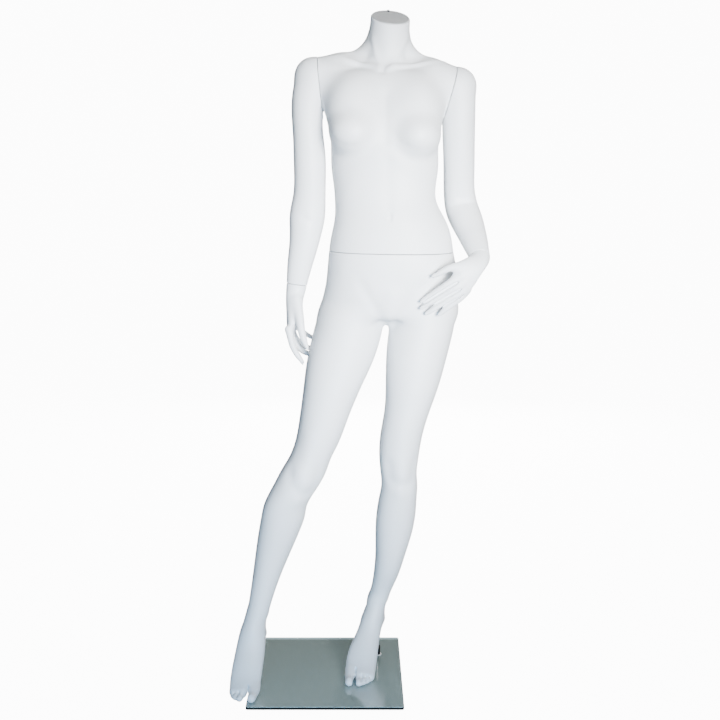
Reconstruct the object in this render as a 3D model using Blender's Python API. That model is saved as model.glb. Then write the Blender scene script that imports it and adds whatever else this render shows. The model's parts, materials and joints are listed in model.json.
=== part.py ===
"""Full body display mannequin: headless female figure in hollow fibreglass on a glass base.

Units are metres, +Z is up. The origin is on the floor, in the middle of the whole
mannequin's outline. The figure faces -Y, so its own left is at +X.
"""
from math import cos, pi, sin

import bmesh
import bpy
import numpy as np
from mathutils import Matrix, Vector

# ---- driving dimensions ----
WALL = 0.0040               # fibreglass wall
FIT = 0.0003                # gap between pieces that touch
SEAM_GAP = 0.0008           # gap between two cut faces of the figure
RECESS = 0.0030             # fitting plates sit this far inside a cut face
PLATE_SIZE = 0.380          # square glass base
PLATE_THICK = 0.0080
PLATE_CENTRE = (-0.080, 0.0)
BUMPER_HEIGHT = 0.0040
BUMPER_RADIUS = 0.0100
BUMPER_INSET = 0.0350
ROD_AT = (0.0500, 0.0880)   # where the foot rod stands on the base
ROD_RADIUS = 0.0045
ROD_TOP = 0.1880
SLEEVE_RADIUS = 0.0066
PLATE_TOP = BUMPER_HEIGHT + PLATE_THICK
CAVITY_FLOOR = 0.240        # the legs are solid below this level
BODY_STEP = 0.0060          # grid cells that the fibreglass pieces are first drawn on
HAND_STEP = 0.0028
LOWER_TRIANGLES = (2600, 800)
TORSO_TRIANGLES = (1500, 700)
ARM_TRIANGLES = (620, 260)
HAND_TRIANGLES = 800
BOLT_TOP = PLATE_TOP + 0.010
COLLAR_RADIUS = 0.0078
COLLAR_TOP = PLATE_TOP + 0.024
SLEEVE_LOW = 0.0860
RUNNING_FIT = 0.0001
PLATE_INSET = 0.0045
FITTING_PLATE = 0.0050
FLANGE = 0.0020
CUP_WALL = 0.0020
SCREW_SHANK = 0.0016
SCREW_HEAD = 0.0030
WAIST_SIZES = {"spigot": 0.0250, "ring": 0.0290, "depth": 0.0450, "flange": 0.0450, "screws": 3}
SHOULDER_SIZES = {"spigot": 0.0140, "ring": 0.0170, "depth": 0.0280, "flange": 0.0300, "screws": 2}
WRIST_SPIGOT = 0.0062
WRIST_RING = 0.0082
WRIST_DEPTH = 0.0180
WRIST_PLATE = 0.0040
NECK_SCREW_AT = (0.003, 0.0480)
NECK_CAP_THICK = 0.0012
NECK_CAP_INSET = 0.0022


# ---- shapes ----
# A shape is a function of points (one row each) that is negative inside and grows about
# like a distance.
def soft_union(a, b, k):
    h = np.clip(0.5 + 0.5 * (b - a) / k, 0.0, 1.0)
    return b + (a - b) * h - k * h * (1.0 - h)


def spline(knots, values, at):
    """Natural cubic spline through values (one row for each knot), read at the given places."""
    knots, values, at = np.asarray(knots, float), np.asarray(values, float), np.asarray(at, float)
    n = len(knots)
    gap = np.diff(knots)
    slope = np.diff(values, axis=0) / gap[:, None]
    system, right = np.eye(n), np.zeros_like(values)
    for i in range(1, n - 1):
        system[i, i - 1:i + 2] = gap[i - 1], 2.0 * (gap[i - 1] + gap[i]), gap[i]
        right[i] = 6.0 * (slope[i] - slope[i - 1])
    bend = np.linalg.solve(system, right)
    at = np.clip(at, knots[0], knots[-1])
    i = np.clip(np.searchsorted(knots, at) - 1, 0, n - 2)
    h = gap[i][:, None]
    t, u = (at - knots[i])[:, None], (knots[i + 1] - at)[:, None]
    cubic = (bend[i] * u ** 3 + bend[i + 1] * t ** 3) / (6.0 * h)
    return cubic + (values[i] / h - bend[i] * h / 6.0) * u + (values[i + 1] / h - bend[i + 1] * h / 6.0) * t


def ball(p, centre, radii, turn=None):
    q = p - np.asarray(centre)
    if turn is not None:
        q = q @ turn
    radii = np.broadcast_to(np.asarray(radii, float), (3,))
    near = np.linalg.norm(q / radii, axis=1)
    slope = np.linalg.norm(q / radii ** 2, axis=1)
    return near * (near - 1.0) / np.maximum(slope, 1e-9)


def oval(u, v, half_u, half_v, power):
    """First-order distance to a superellipse."""
    a, b = np.abs(u / half_u), np.abs(v / half_v)
    near = np.maximum((a ** power + b ** power) ** (1.0 / power), 1e-6)
    slope = np.hypot((a / near) ** (power - 1.0) / half_u, (b / near) ** (power - 1.0) / half_v)
    return (near - 1.0) / slope


def loft(p, stations, power=2.0, end_round=0.02):
    """Level sections (z, left, right, front, back) joined by splines."""
    stations = np.asarray(stations, float)
    stations = stations[np.argsort(stations[:, 0])]
    left, right, front, back = spline(stations[:, 0], stations[:, 1:], p[:, 2]).T
    side = oval(p[:, 0] - (left + right) / 2, p[:, 1] - (front + back) / 2,
                (right - left) / 2, (back - front) / 2, power)
    ends = np.maximum(stations[0, 0] - p[:, 2], p[:, 2] - stations[-1, 0])
    return -soft_union(-side, -ends, end_round)


def limb(p, stations, side=(1.0, 0.0, 0.0), power=2.0, samples=48):
    """Oval sections (x, y, z, half along side, half across it) swept along a smooth line."""
    stations = np.asarray(stations, float)
    run = np.concatenate([[0.0], np.cumsum(np.linalg.norm(np.diff(stations[:, :3], axis=0), axis=1))])
    at = np.linspace(0.0, run[-1], samples)
    rows = spline(run, stations, at)
    centre = rows[:, :3]
    along = np.gradient(centre, axis=0)
    along /= np.linalg.norm(along, axis=1)[:, None]
    length = np.concatenate([[0.0], np.cumsum(np.linalg.norm(np.diff(centre, axis=0), axis=1))])
    out = np.empty(len(p))
    for first in range(0, len(p), 60000):
        q = p[first:first + 60000]
        near = np.argmin((centre ** 2).sum(1)[None] - 2.0 * q @ centre.T, axis=1)
        place = length[near] + ((q - centre[near]) * along[near]).sum(1)
        place = np.clip(place, 0.0, length[-1])
        mix = [np.interp(place, length, column) for column in np.hstack([rows, along]).T]
        mid, half_u, half_v, t = np.array(mix[:3]).T, mix[3], mix[4], np.array(mix[5:]).T
        t /= np.linalg.norm(t, axis=1)[:, None]
        u = np.asarray(side) - (t @ np.asarray(side))[:, None] * t
        u /= np.linalg.norm(u, axis=1)[:, None]
        v = np.cross(t, u)
        rest = q - mid
        du, dv, dt = (rest * u).sum(1), (rest * v).sum(1), (rest * t).sum(1)
        flat = oval(du, dv, half_u, half_v, power)
        tip = np.minimum(half_u, half_v)
        past = np.abs(dt) > 1e-4 * tip + 1e-5
        a, b, c = np.abs(du / half_u), np.abs(dv / half_v), np.abs(dt / tip)
        around = np.sqrt(a * a + b * b + c * c) + 1e-9
        slope = np.sqrt((a / half_u) ** 2 + (b / half_v) ** 2 + (c / tip) ** 2) / around
        ended = (place <= 0.0) | (place >= length[-1])
        out[first:first + 60000] = np.where(ended & past, (around - 1.0) / slope, flat)
    return out


def fill_corners(value):
    """Fills the grid squares whose corners are in and out by turns, where a net would
    touch itself."""
    for _ in range(6):
        inside = value < 0.0
        filled = 0
        for axis in range(3):
            one, two = [np.eye(3, dtype=int)[(axis + s) % 3] for s in (1, 2)]
            size = np.array(value.shape) - one - two

            def corner(shift):
                return inside[tuple(slice(s, s + n) for s, n in zip(shift, size))]

            start = corner(0 * one)
            turns = (start == corner(one + two)) & (corner(one) == corner(two)) & (start != corner(one))
            where = np.argwhere(turns)
            where += one * start[turns][:, None]
            value[tuple(where.T)] = -1e-6
            filled += len(where)
        if not filled:
            return


def surface_net(field, low, high, step):
    """Quads near the field's zero surface, one vertex in each cell that it crosses."""
    low, high = np.asarray(low, float), np.asarray(high, float)
    coarse = 4
    cells = np.ceil((high - low) / (step * coarse)).astype(int)
    count = cells * coarse + 1

    def grid(every, number):
        axes = [low[i] + step * every * np.arange(number[i]) for i in range(3)]
        return np.stack(np.meshgrid(*axes, indexing="ij"), axis=-1)

    rough = field(grid(coarse, cells + 1).reshape(-1, 3)).reshape(cells + 1)
    pick = [np.clip((np.arange(n) + coarse // 2) // coarse, 0, c) for n, c in zip(count, cells)]
    value = rough[np.ix_(*pick)]
    close = np.abs(value) < 8.0 * step
    where = np.argwhere(close)
    value[close] = field(low + step * where)
    fill_corners(value)

    inside = value < 0.0
    corners = [(i, j, k) for i in (0, 1) for j in (0, 1) for k in (0, 1)]
    sizes = [n - 1 for n in count]
    window = lambda a, c: a[c[0]:c[0] + sizes[0], c[1]:c[1] + sizes[1], c[2]:c[2] + sizes[2]]
    filled = sum(window(inside, c).astype(np.int8) for c in corners)
    active = (filled > 0) & (filled < 8)
    cell = np.argwhere(active)
    number = np.full(sizes, -1)
    number[active] = np.arange(len(cell))
    total, crossings = np.zeros((len(cell), 3)), np.zeros(len(cell))
    for a in corners:
        for axis in range(3):
            if a[axis]:
                continue
            b = list(a)
            b[axis] = 1
            fa, fb = value[tuple((cell + a).T)], value[tuple((cell + b).T)]
            cross = (fa < 0.0) != (fb < 0.0)
            part = np.where(cross, fa / np.where(cross, fa - fb, 1.0), 0.0)
            place = np.tile(np.array(a, float), (len(cell), 1))
            place[:, axis] = part
            total += place * cross[:, None]
            crossings += cross
    points = low + step * (cell + total / crossings[:, None])
    quads = []
    for axis in range(3):
        one, two = [np.eye(3, dtype=int)[(axis + s) % 3] for s in (1, 2)]
        ahead = np.eye(3, dtype=int)[axis]
        edges = np.argwhere(np.diff(inside.astype(np.int8), axis=axis) != 0)
        ok = np.all((edges - one - two >= 0) & (edges < np.array(sizes)), axis=1)
        edges = edges[ok]
        ring = [number[tuple((edges - s).T)] for s in (0 * one, one, one + two, two)]
        quad = np.stack(ring, axis=1)
        flip = inside[tuple(edges.T)]
        quad[~flip] = quad[~flip][:, ::-1]
        quads.append(quad)
    return points, np.concatenate(quads)


def settle(field, points, step, rounds=3):
    """Moves the points onto the field's zero surface along its slope."""
    small = 0.05 * step
    for _ in range(rounds):
        here = field(points)
        slope = np.stack([(field(points + small * e) - field(points - small * e)) / (2 * small)
                          for e in np.eye(3)], axis=1)
        move = here[:, None] * slope / np.maximum((slope ** 2).sum(1), 0.04)[:, None]
        size = np.linalg.norm(move, axis=1)[:, None]
        points = points - move * np.minimum(1.0, 0.5 * step / np.maximum(size, 1e-12))
    return points


# ---- the figure ----
# Level sections: height, left, right, front, back.
TRUNK = [
    (0.920, -0.095, 0.240, -0.060, 0.138), (0.960, -0.089, 0.243, -0.070, 0.146),
    (1.000, -0.080, 0.243, -0.076, 0.140), (1.040, -0.075, 0.238, -0.080, 0.128),
    (1.080, -0.071, 0.229, -0.080, 0.115), (1.120, -0.065, 0.222, -0.077, 0.106),
    (1.160, -0.057, 0.207, -0.071, 0.102), (1.200, -0.056, 0.187, -0.064, 0.101),
    (1.240, -0.059, 0.185, -0.062, 0.104), (1.280, -0.064, 0.190, -0.064, 0.112),
    (1.320, -0.065, 0.190, -0.068, 0.120), (1.360, -0.067, 0.193, -0.068, 0.126),
    (1.400, -0.077, 0.201, -0.062, 0.128), (1.440, -0.090, 0.212, -0.050, 0.126),
    (1.480, -0.094, 0.216, -0.034, 0.118), (1.505, -0.090, 0.212, -0.016, 0.108)]
RIGHT_LEG = [
    (0.165, -0.283, -0.230, -0.064, 0.000), (0.211, -0.275, -0.217, -0.058, 0.006),
    (0.275, -0.266, -0.194, -0.052, 0.038), (0.336, -0.258, -0.168, -0.053, 0.055),
    (0.397, -0.248, -0.143, -0.062, 0.053), (0.428, -0.242, -0.133, -0.067, 0.047),
    (0.458, -0.235, -0.127, -0.073, 0.040), (0.488, -0.222, -0.112, -0.078, 0.034),
    (0.518, -0.206, -0.093, -0.078, 0.034), (0.548, -0.190, -0.078, -0.076, 0.038),
    (0.578, -0.172, -0.067, -0.074, 0.044), (0.608, -0.159, -0.052, -0.073, 0.052),
    (0.668, -0.146, -0.028, -0.073, 0.064), (0.757, -0.134, 0.009, -0.072, 0.082),
    (0.816, -0.126, 0.036, -0.068, 0.094), (0.875, -0.113, 0.055, -0.064, 0.108),
    (0.905, -0.105, 0.060, -0.062, 0.116), (0.950, -0.090, 0.055, -0.055, 0.112)]
LEFT_LEG = [
    (0.165, 0.020, 0.074, 0.042, 0.108), (0.209, 0.033, 0.089, 0.034, 0.103),
    (0.242, 0.038, 0.101, 0.018, 0.099), (0.309, 0.043, 0.120, -0.008, 0.095),
    (0.375, 0.043, 0.137, -0.025, 0.089), (0.440, 0.047, 0.145, -0.040, 0.074),
    (0.472, 0.052, 0.146, -0.047, 0.066), (0.504, 0.057, 0.147, -0.052, 0.060),
    (0.536, 0.055, 0.145, -0.054, 0.058), (0.568, 0.052, 0.148, -0.055, 0.060),
    (0.630, 0.054, 0.158, -0.058, 0.070), (0.693, 0.064, 0.176, -0.062, 0.080),
    (0.754, 0.067, 0.197, -0.064, 0.091), (0.815, 0.068, 0.214, -0.064, 0.102),
    (0.875, 0.073, 0.229, -0.062, 0.114), (0.905, 0.078, 0.235, -0.060, 0.120),
    (0.950, 0.085, 0.238, -0.055, 0.116)]
# Sections along a limb: x, y, z, half width, half depth.
YOKE = [
    (-0.108, 0.045, 1.493, 0.043, 0.0435), (-0.055, 0.052, 1.504, 0.040, 0.038),
    (0.000, 0.058, 1.516, 0.040, 0.035), (0.064, 0.060, 1.522, 0.042, 0.036),
    (0.130, 0.058, 1.509, 0.040, 0.036), (0.185, 0.051, 1.489, 0.040, 0.037),
    (0.234, 0.045, 1.4705, 0.043, 0.043)]
NECK = [
    (0.064, 0.058, 1.500, 0.052, 0.056), (0.068, 0.052, 1.545, 0.049, 0.055),
    (0.0725, 0.040, 1.590, 0.0475, 0.053), (0.0755, 0.022, 1.635, 0.0455, 0.050),
    (0.077, 0.008, 1.670, 0.045, 0.049)]
RIGHT_NECK_SLOPE = [
    (0.045, 0.066, 1.575, 0.018, 0.024), (0.022, 0.066, 1.545, 0.020, 0.026),
    (-0.012, 0.064, 1.518, 0.020, 0.026), (-0.050, 0.060, 1.502, 0.018, 0.024)]
LEFT_NECK_SLOPE = [
    (0.101, 0.066, 1.570, 0.018, 0.024), (0.121, 0.066, 1.538, 0.020, 0.026),
    (0.152, 0.062, 1.511, 0.020, 0.026), (0.188, 0.056, 1.489, 0.018, 0.024)]
# The swell above each breast and the breast itself: centre, radii.
BREASTS = [
    (((-0.012, -0.020, 1.405), (0.052, 0.046, 0.075)), ((-0.013, -0.036, 1.361), (0.053, 0.058, 0.050))),
    (((0.132, -0.020, 1.398), (0.052, 0.046, 0.075)), ((0.137, -0.036, 1.352), (0.053, 0.058, 0.050)))]
RIGHT_ARM = [
    (-0.104, 0.045, 1.4945, 0.0415, 0.0435), (-0.115, 0.046, 1.455, 0.0415, 0.045),
    (-0.1215, 0.047, 1.410, 0.0380, 0.045), (-0.1205, 0.049, 1.360, 0.0365, 0.043),
    (-0.1175, 0.051, 1.310, 0.0385, 0.041), (-0.117, 0.053, 1.260, 0.0385, 0.040),
    (-0.119, 0.055, 1.213, 0.0395, 0.039), (-0.1245, 0.055, 1.165, 0.0430, 0.039),
    (-0.1285, 0.054, 1.130, 0.0395, 0.037), (-0.1345, 0.052, 1.092, 0.0350, 0.033),
    (-0.1445, 0.050, 1.043, 0.0300, 0.027), (-0.1515, 0.049, 1.000, 0.0250, 0.0195),
    (-0.158, 0.047, 0.965, 0.0215, 0.0165)]
LEFT_ARM = [
    (0.235, 0.045, 1.4705, 0.044, 0.043), (0.239, 0.047, 1.420, 0.0400, 0.046),
    (0.2405, 0.051, 1.370, 0.0390, 0.044), (0.2425, 0.058, 1.320, 0.0380, 0.042),
    (0.2445, 0.068, 1.270, 0.0375, 0.040), (0.247, 0.080, 1.225, 0.0380, 0.039),
    (0.254, 0.082, 1.185, 0.0400, 0.038), (0.264, 0.058, 1.155, 0.0388, 0.037),
    (0.273, 0.028, 1.127, 0.0345, 0.034), (0.280, -0.008, 1.100, 0.0295, 0.029),
    (0.2845, -0.042, 1.077, 0.0250, 0.0210), (0.2885, -0.068, 1.059, 0.0225, 0.0180)]
# The palm's first half width runs along its side vector.
RIGHT_PALM = [
    (-0.1495, 0.0495, 1.015, 0.0205, 0.0260), (-0.1515, 0.049, 1.000, 0.0195, 0.0250),
    (-0.157, 0.0485, 0.966, 0.0220, 0.0215), (-0.160, 0.050, 0.935, 0.0310, 0.0180),
    (-0.1635, 0.052, 0.905, 0.0370, 0.0140), (-0.166, 0.053, 0.885, 0.0350, 0.0110)]
RIGHT_PALM_SIDE = (0.0, 1.0, 0.0)
LEFT_PALM = [
    (0.283, -0.030, 1.086, 0.0265, 0.0230), (0.2862, -0.046, 1.0745, 0.0240, 0.0200),
    (0.2800, -0.066, 1.064, 0.0230, 0.0165), (0.265, -0.083, 1.0515, 0.0265, 0.0145),
    (0.251, -0.090, 1.0355, 0.0290, 0.0125), (0.2415, -0.090, 1.019, 0.0280, 0.0110),
    (0.235, -0.088, 1.007, 0.0240, 0.0095)]
LEFT_PALM_SIDE = (0.93, 0.12, -0.35)
# Fingers: x, y, z, radius.
RIGHT_FINGERS = {
    "thumb": [(-0.150, 0.034, 0.962, 0.0125), (-0.1465, 0.024, 0.935, 0.0120),
              (-0.142, 0.014, 0.911, 0.0105), (-0.1384, 0.008, 0.890, 0.0090),
              (-0.1324, 0.006, 0.868, 0.0078), (-0.1262, 0.006, 0.850, 0.0045)],
    "index": [(-0.170, 0.022, 0.893, 0.0095), (-0.166, 0.020, 0.871, 0.0085),
              (-0.1616, 0.020, 0.8536, 0.0078), (-0.1544, 0.020, 0.8362, 0.0070),
              (-0.1447, 0.021, 0.8213, 0.0062), (-0.1375, 0.022, 0.8105, 0.0042)],
    "middle": [(-0.168, 0.042, 0.888, 0.0090), (-0.1595, 0.043, 0.8625, 0.0082),
               (-0.149, 0.046, 0.8448, 0.0075), (-0.1365, 0.055, 0.832, 0.0068),
               (-0.123, 0.069, 0.824, 0.0060), (-0.113, 0.082, 0.820, 0.0042)],
    "ring": [(-0.166, 0.062, 0.889, 0.0085), (-0.157, 0.064, 0.866, 0.0076),
             (-0.145, 0.069, 0.850, 0.0070), (-0.131, 0.079, 0.840, 0.0064),
             (-0.117, 0.091, 0.834, 0.0056), (-0.108, 0.100, 0.831, 0.0040)],
    "little": [(-0.162, 0.080, 0.900, 0.0075), (-0.153, 0.084, 0.888, 0.0066),
               (-0.142, 0.089, 0.879, 0.0060), (-0.128, 0.095, 0.868, 0.0055),
               (-0.116, 0.102, 0.860, 0.0050), (-0.109, 0.106, 0.856, 0.0035)]}
LEFT_FINGERS = {
    "thumb": [(0.264, -0.074, 1.053, 0.0125), (0.244, -0.084, 1.055, 0.0105),
              (0.2187, -0.091, 1.0525, 0.0085), (0.2028, -0.090, 1.0465, 0.0074),
              (0.1871, -0.0875, 1.0375, 0.0060), (0.1755, -0.086, 1.0315, 0.0040)],
    "index": [(0.2365, -0.091, 1.031, 0.0088), (0.2144, -0.095, 1.0185, 0.0083),
              (0.1986, -0.092, 1.0080, 0.0078), (0.1806, -0.087, 0.9950, 0.0074),
              (0.1630, -0.082, 0.9820, 0.0068), (0.1500, -0.0795, 0.9730, 0.0050)],
    "middle": [(0.245, -0.090, 1.0145, 0.0088), (0.2262, -0.094, 1.0045, 0.0082),
               (0.2103, -0.091, 0.9955, 0.0078), (0.1866, -0.086, 0.9805, 0.0074),
               (0.1640, -0.081, 0.9660, 0.0068), (0.1496, -0.0785, 0.9570, 0.0050)],
    "ring": [(0.251, -0.086, 1.003, 0.0084), (0.2375, -0.089, 0.9923, 0.0080),
             (0.2203, -0.087, 0.9815, 0.0077), (0.1990, -0.083, 0.9680, 0.0073),
             (0.1775, -0.079, 0.9540, 0.0066), (0.1615, -0.076, 0.9440, 0.0048)],
    "little": [(0.254, -0.079, 0.997, 0.0076), (0.2435, -0.082, 0.9840, 0.0072),
               (0.2293, -0.081, 0.9720, 0.0069), (0.2133, -0.078, 0.9600, 0.0066),
               (0.2000, -0.075, 0.9490, 0.0060), (0.1925, -0.073, 0.9415, 0.0044)]}
RIGHT_FOOT = [
    (-0.2545, -0.030, 0.180, 0.0235, 0.0300), (-0.2635, -0.040, 0.140, 0.0315, 0.0350),
    (-0.2695, -0.062, 0.098, 0.0360, 0.0280), (-0.2745, -0.092, 0.064, 0.0375, 0.0230),
    (-0.277, -0.118, 0.041, 0.0375, 0.0180), (-0.277, -0.142, 0.0285, 0.0360, 0.0140)]
RIGHT_HEEL = ((-0.264, -0.010, 0.117), (0.025, 0.029, 0.033))
RIGHT_TOES = [
    [(-0.256, -0.128, 0.031, 0.0135), (-0.2555, -0.150, 0.026, 0.0120), (-0.2575, -0.169, 0.0235, 0.0105)],
    [(-0.280, -0.135, 0.029, 0.0110), (-0.2835, -0.152, 0.024, 0.0090), (-0.286, -0.166, 0.0215, 0.0080)],
    [(-0.289, -0.130, 0.028, 0.0105), (-0.294, -0.146, 0.023, 0.0085), (-0.297, -0.158, 0.021, 0.0075)],
    [(-0.297, -0.122, 0.028, 0.0100), (-0.301, -0.138, 0.023, 0.0082), (-0.3025, -0.149, 0.0205, 0.0072)],
    [(-0.301, -0.110, 0.028, 0.0100), (-0.3045, -0.125, 0.023, 0.0080), (-0.306, -0.136, 0.0205, 0.0070)]]
LEFT_FOOT = [
    (0.0505, 0.072, 0.175, 0.0225, 0.0300), (0.0380, 0.060, 0.130, 0.0275, 0.0350),
    (0.025, 0.032, 0.092, 0.0310, 0.0280), (0.012, -0.005, 0.060, 0.0375, 0.0230),
    (0.006, -0.035, 0.039, 0.0380, 0.0180), (0.004, -0.060, 0.0280, 0.0360, 0.0140)]
LEFT_HEEL = ((0.042, 0.086, 0.117), (0.0225, 0.029, 0.033))
LEFT_TOES = [
    [(-0.018, -0.045, 0.031, 0.0135), (-0.0215, -0.068, 0.026, 0.0120), (-0.0225, -0.087, 0.0235, 0.0105)],
    [(0.004, -0.055, 0.029, 0.0110), (0.002, -0.075, 0.024, 0.0090), (0.001, -0.089, 0.0215, 0.0080)],
    [(0.014, -0.051, 0.028, 0.0105), (0.013, -0.070, 0.023, 0.0085), (0.012, -0.083, 0.021, 0.0075)],
    [(0.023, -0.046, 0.028, 0.0100), (0.023, -0.062, 0.023, 0.0082), (0.022, -0.074, 0.0205, 0.0072)],
    [(0.031, -0.036, 0.028, 0.0100), (0.0315, -0.051, 0.023, 0.0080), (0.031, -0.062, 0.0205, 0.0070)]]

# Cut planes: a point on the plane, and the way out of the piece nearer the waist.
RIGHT_SHOULDER = (Vector((-0.0905, 0.048, 1.476)), Vector((-1.0, 0.03, -0.093)).normalized())
LEFT_SHOULDER = (Vector((0.216, 0.044, 1.447)), Vector((1.0, 0.05, -0.25)).normalized())
WAIST = (Vector((0.078, 0.018, 1.0835)), Vector((0.012, -0.03, 1.0)).normalized())
NECK_TOP = (Vector((0.076, 0.020, 1.622)), Vector((0.10, -0.50, 1.0)).normalized())
RIGHT_WRIST = (Vector((-0.1515, 0.049, 1.000)), Vector((-0.135, -0.03, -1.0)).normalized())
LEFT_WRIST = (Vector((0.2862, -0.046, 1.0745)), Vector((0.15, -0.80, -0.58)).normalized())
RIGHT_ARMPIT = 1.400
LEFT_ARMPIT = 1.372


def beyond(p, cut):
    """How far points lie outside a cut plane."""
    return (p - np.array(cut[0])) @ np.array(cut[1])


def right_arm(p):
    d = limb(p, RIGHT_ARM, power=2.15)
    return soft_union(d, limb(p, YOKE[:2], side=(0.0, 1.0, 0.0)), 0.010)


def left_arm(p):
    d = limb(p, LEFT_ARM, power=2.15)
    return soft_union(d, limb(p, YOKE[-2:], side=(0.0, 1.0, 0.0)), 0.010)


def trunk(p):
    d = loft(p, TRUNK, power=2.35)
    d = soft_union(d, limb(p, YOKE, side=(0.0, 1.0, 0.0)), 0.030)
    d = soft_union(d, limb(p, NECK), 0.030)
    for slope in (RIGHT_NECK_SLOPE, LEFT_NECK_SLOPE):
        d = soft_union(d, limb(p, slope), 0.030)
    for swell, breast in BREASTS:
        d = soft_union(d, ball(p, *swell), 0.035)
        d = soft_union(d, ball(p, *breast), 0.018)
    return d


def torso(p):
    """The trunk with a stub of each arm past its shoulder cut."""
    d = trunk(p)
    for arm, cut, armpit in ((right_arm, RIGHT_SHOULDER, RIGHT_ARMPIT),
                             (left_arm, LEFT_SHOULDER, LEFT_ARMPIT)):
        away = beyond(p, cut)
        stub = np.maximum(np.maximum(arm(p), away - 0.020), armpit - p[:, 2])
        d = soft_union(d, stub, np.clip(-0.5 * away, 0.001, 0.030))
    return d


def foot(p, shank, heel, toes):
    d = soft_union(limb(p, shank), ball(p, *heel), 0.022)
    for toe in toes:
        row = np.array(toe)
        d = soft_union(d, limb(p, row[:, [0, 1, 2, 3, 3]], samples=16), 0.008)
    return d


def leg(p, sections, *foot_shape):
    d = loft(p, sections, power=2.1)
    low = p[:, 2] < 0.26
    if low.any():
        d[low] = soft_union(d[low], foot(p[low], *foot_shape), 0.012)
    return d


def lower_body(p):
    d = loft(p, TRUNK, power=2.35)
    for buttock in ((0.004, 0.084, 0.955), (0.150, 0.084, 0.960)):
        d = soft_union(d, ball(p, buttock, (0.078, 0.074, 0.075)), 0.030)
    d = soft_union(d, ball(p, (0.0745, 0.010, 0.936), (0.022, 0.048, 0.029)), 0.012)
    d = soft_union(d, leg(p, RIGHT_LEG, RIGHT_FOOT, RIGHT_HEEL, RIGHT_TOES), 0.020)
    return soft_union(d, leg(p, LEFT_LEG, LEFT_FOOT, LEFT_HEEL, LEFT_TOES), 0.020)


def hand(p, palm, side, fingers, web):
    d = limb(p, palm, side=side)
    for name, row in fingers.items():
        row = np.array(row)
        blend = 0.010 if name == "thumb" else web
        d = soft_union(d, limb(p, row[:, [0, 1, 2, 3, 3]], samples=24), blend)
    return d


def right_hand(p):
    return hand(p, RIGHT_PALM, RIGHT_PALM_SIDE, RIGHT_FINGERS, 0.004)


def left_hand(p):
    return hand(p, LEFT_PALM, LEFT_PALM_SIDE, LEFT_FINGERS, 0.009)


def inside(shape, wall=WALL):
    """The hollow that a wall of even thickness leaves in a shape."""
    return lambda p: shape(p) + wall


def leg_hollow(p):
    return np.maximum(lower_body(p) + WALL, CAVITY_FLOOR - p[:, 2])


# ---- materials ----
COLOURS = {
    "fibreglass": ((0.80, 0.81, 0.82, 1.0), 0.45, 0.0),
    "fibreglass_plate": ((0.62, 0.63, 0.64, 1.0), 0.60, 0.0),
    "neck_cap": ((0.45, 0.46, 0.47, 1.0), 0.45, 0.0),
    "glass": ((0.45, 0.55, 0.52, 1.0), 0.05, 0.0),
    "steel": ((0.60, 0.61, 0.62, 1.0), 0.30, 1.0),
    "dark_steel": ((0.05, 0.05, 0.05, 1.0), 0.40, 1.0),
    "nylon": ((0.85, 0.85, 0.83, 1.0), 0.50, 0.0),
    "clear_rubber": ((0.70, 0.72, 0.72, 1.0), 0.40, 0.0),
}


def material(slot):
    found = bpy.data.materials.get(slot)
    if found:
        return found
    colour, roughness, metallic = COLOURS[slot]
    made = bpy.data.materials.new(slot)
    made.use_nodes = True
    shader = made.node_tree.nodes["Principled BSDF"]
    shader.inputs["Base Color"].default_value = colour
    shader.inputs["Roughness"].default_value = roughness
    shader.inputs["Metallic"].default_value = metallic
    return made


# ---- object helpers ----
def add_object(name, bm, slot, place=None, group=None, smooth=True):
    """Makes an object of a bmesh given in its own axes."""
    bmesh.ops.recalc_face_normals(bm, faces=bm.faces)
    mesh = bpy.data.meshes.new(name)
    bm.to_mesh(mesh)
    bm.free()
    mesh.materials.append(material(slot))
    obj = bpy.data.objects.new(name, mesh)
    bpy.context.scene.collection.objects.link(obj)
    if smooth:
        mesh.shade_smooth()
        mesh.set_sharp_from_angle(angle=pi / 5)
    if place is not None:
        obj.matrix_world = place
    if group is not None:
        world = obj.matrix_world.copy()
        obj.parent = group
        obj.matrix_parent_inverse = group.matrix_world.inverted()
        obj.matrix_world = world
    return obj


def add_group(name, place):
    """An empty on a joint's axis, which carries the moving pieces."""
    group = bpy.data.objects.new(name, None)
    bpy.context.scene.collection.objects.link(group)
    group.matrix_world = place
    return group


def axes_at(cut, offset=0.0):
    """A place on a cut plane with its Z along the plane's way out."""
    point, out = cut
    turn = out.to_track_quat("Z", "Y").to_matrix().to_4x4()
    return Matrix.Translation(point + out * offset) @ turn


def apply_modifiers(obj):
    bpy.context.view_layer.update()
    shown = obj.evaluated_get(bpy.context.evaluated_depsgraph_get())
    mesh = bpy.data.meshes.new_from_object(shown)
    obj.modifiers.clear()
    obj.data = mesh


def turned(profile):
    """A body of revolution about Z from a closed outline of (radius, height)."""
    bm = bmesh.new()
    widest = max(radius for radius, _ in profile)
    segments = 8 if widest < 0.0036 else 14 if widest < 0.0125 else 24
    rings = []
    for radius, height in profile:
        if radius == 0.0:
            rings.append([bm.verts.new((0.0, 0.0, height))])
            continue
        angles = [2 * pi * i / segments for i in range(segments)]
        rings.append([bm.verts.new((radius * cos(a), radius * sin(a), height)) for a in angles])
    for one, two in zip(rings, rings[1:] + rings[:1]):
        if len(one) == 1 and len(two) == 1:
            continue
        for i in range(segments):
            j = (i + 1) % segments
            corners = [one[i % len(one)], one[j % len(one)], two[j % len(two)], two[i % len(two)]]
            bm.faces.new(dict.fromkeys(corners))
    return bm


def rod_profile(radius, low, high, edge=0.0):
    if not edge:
        return [(0.0, low), (radius, low), (radius, high), (0.0, high)]
    return [(0.0, low), (radius - edge, low), (radius, low + edge),
            (radius, high - edge), (radius - edge, high), (0.0, high)]


def tube_profile(inner, outer, low, high):
    return [(inner, low), (outer, low), (outer, high), (inner, high)]


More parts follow.
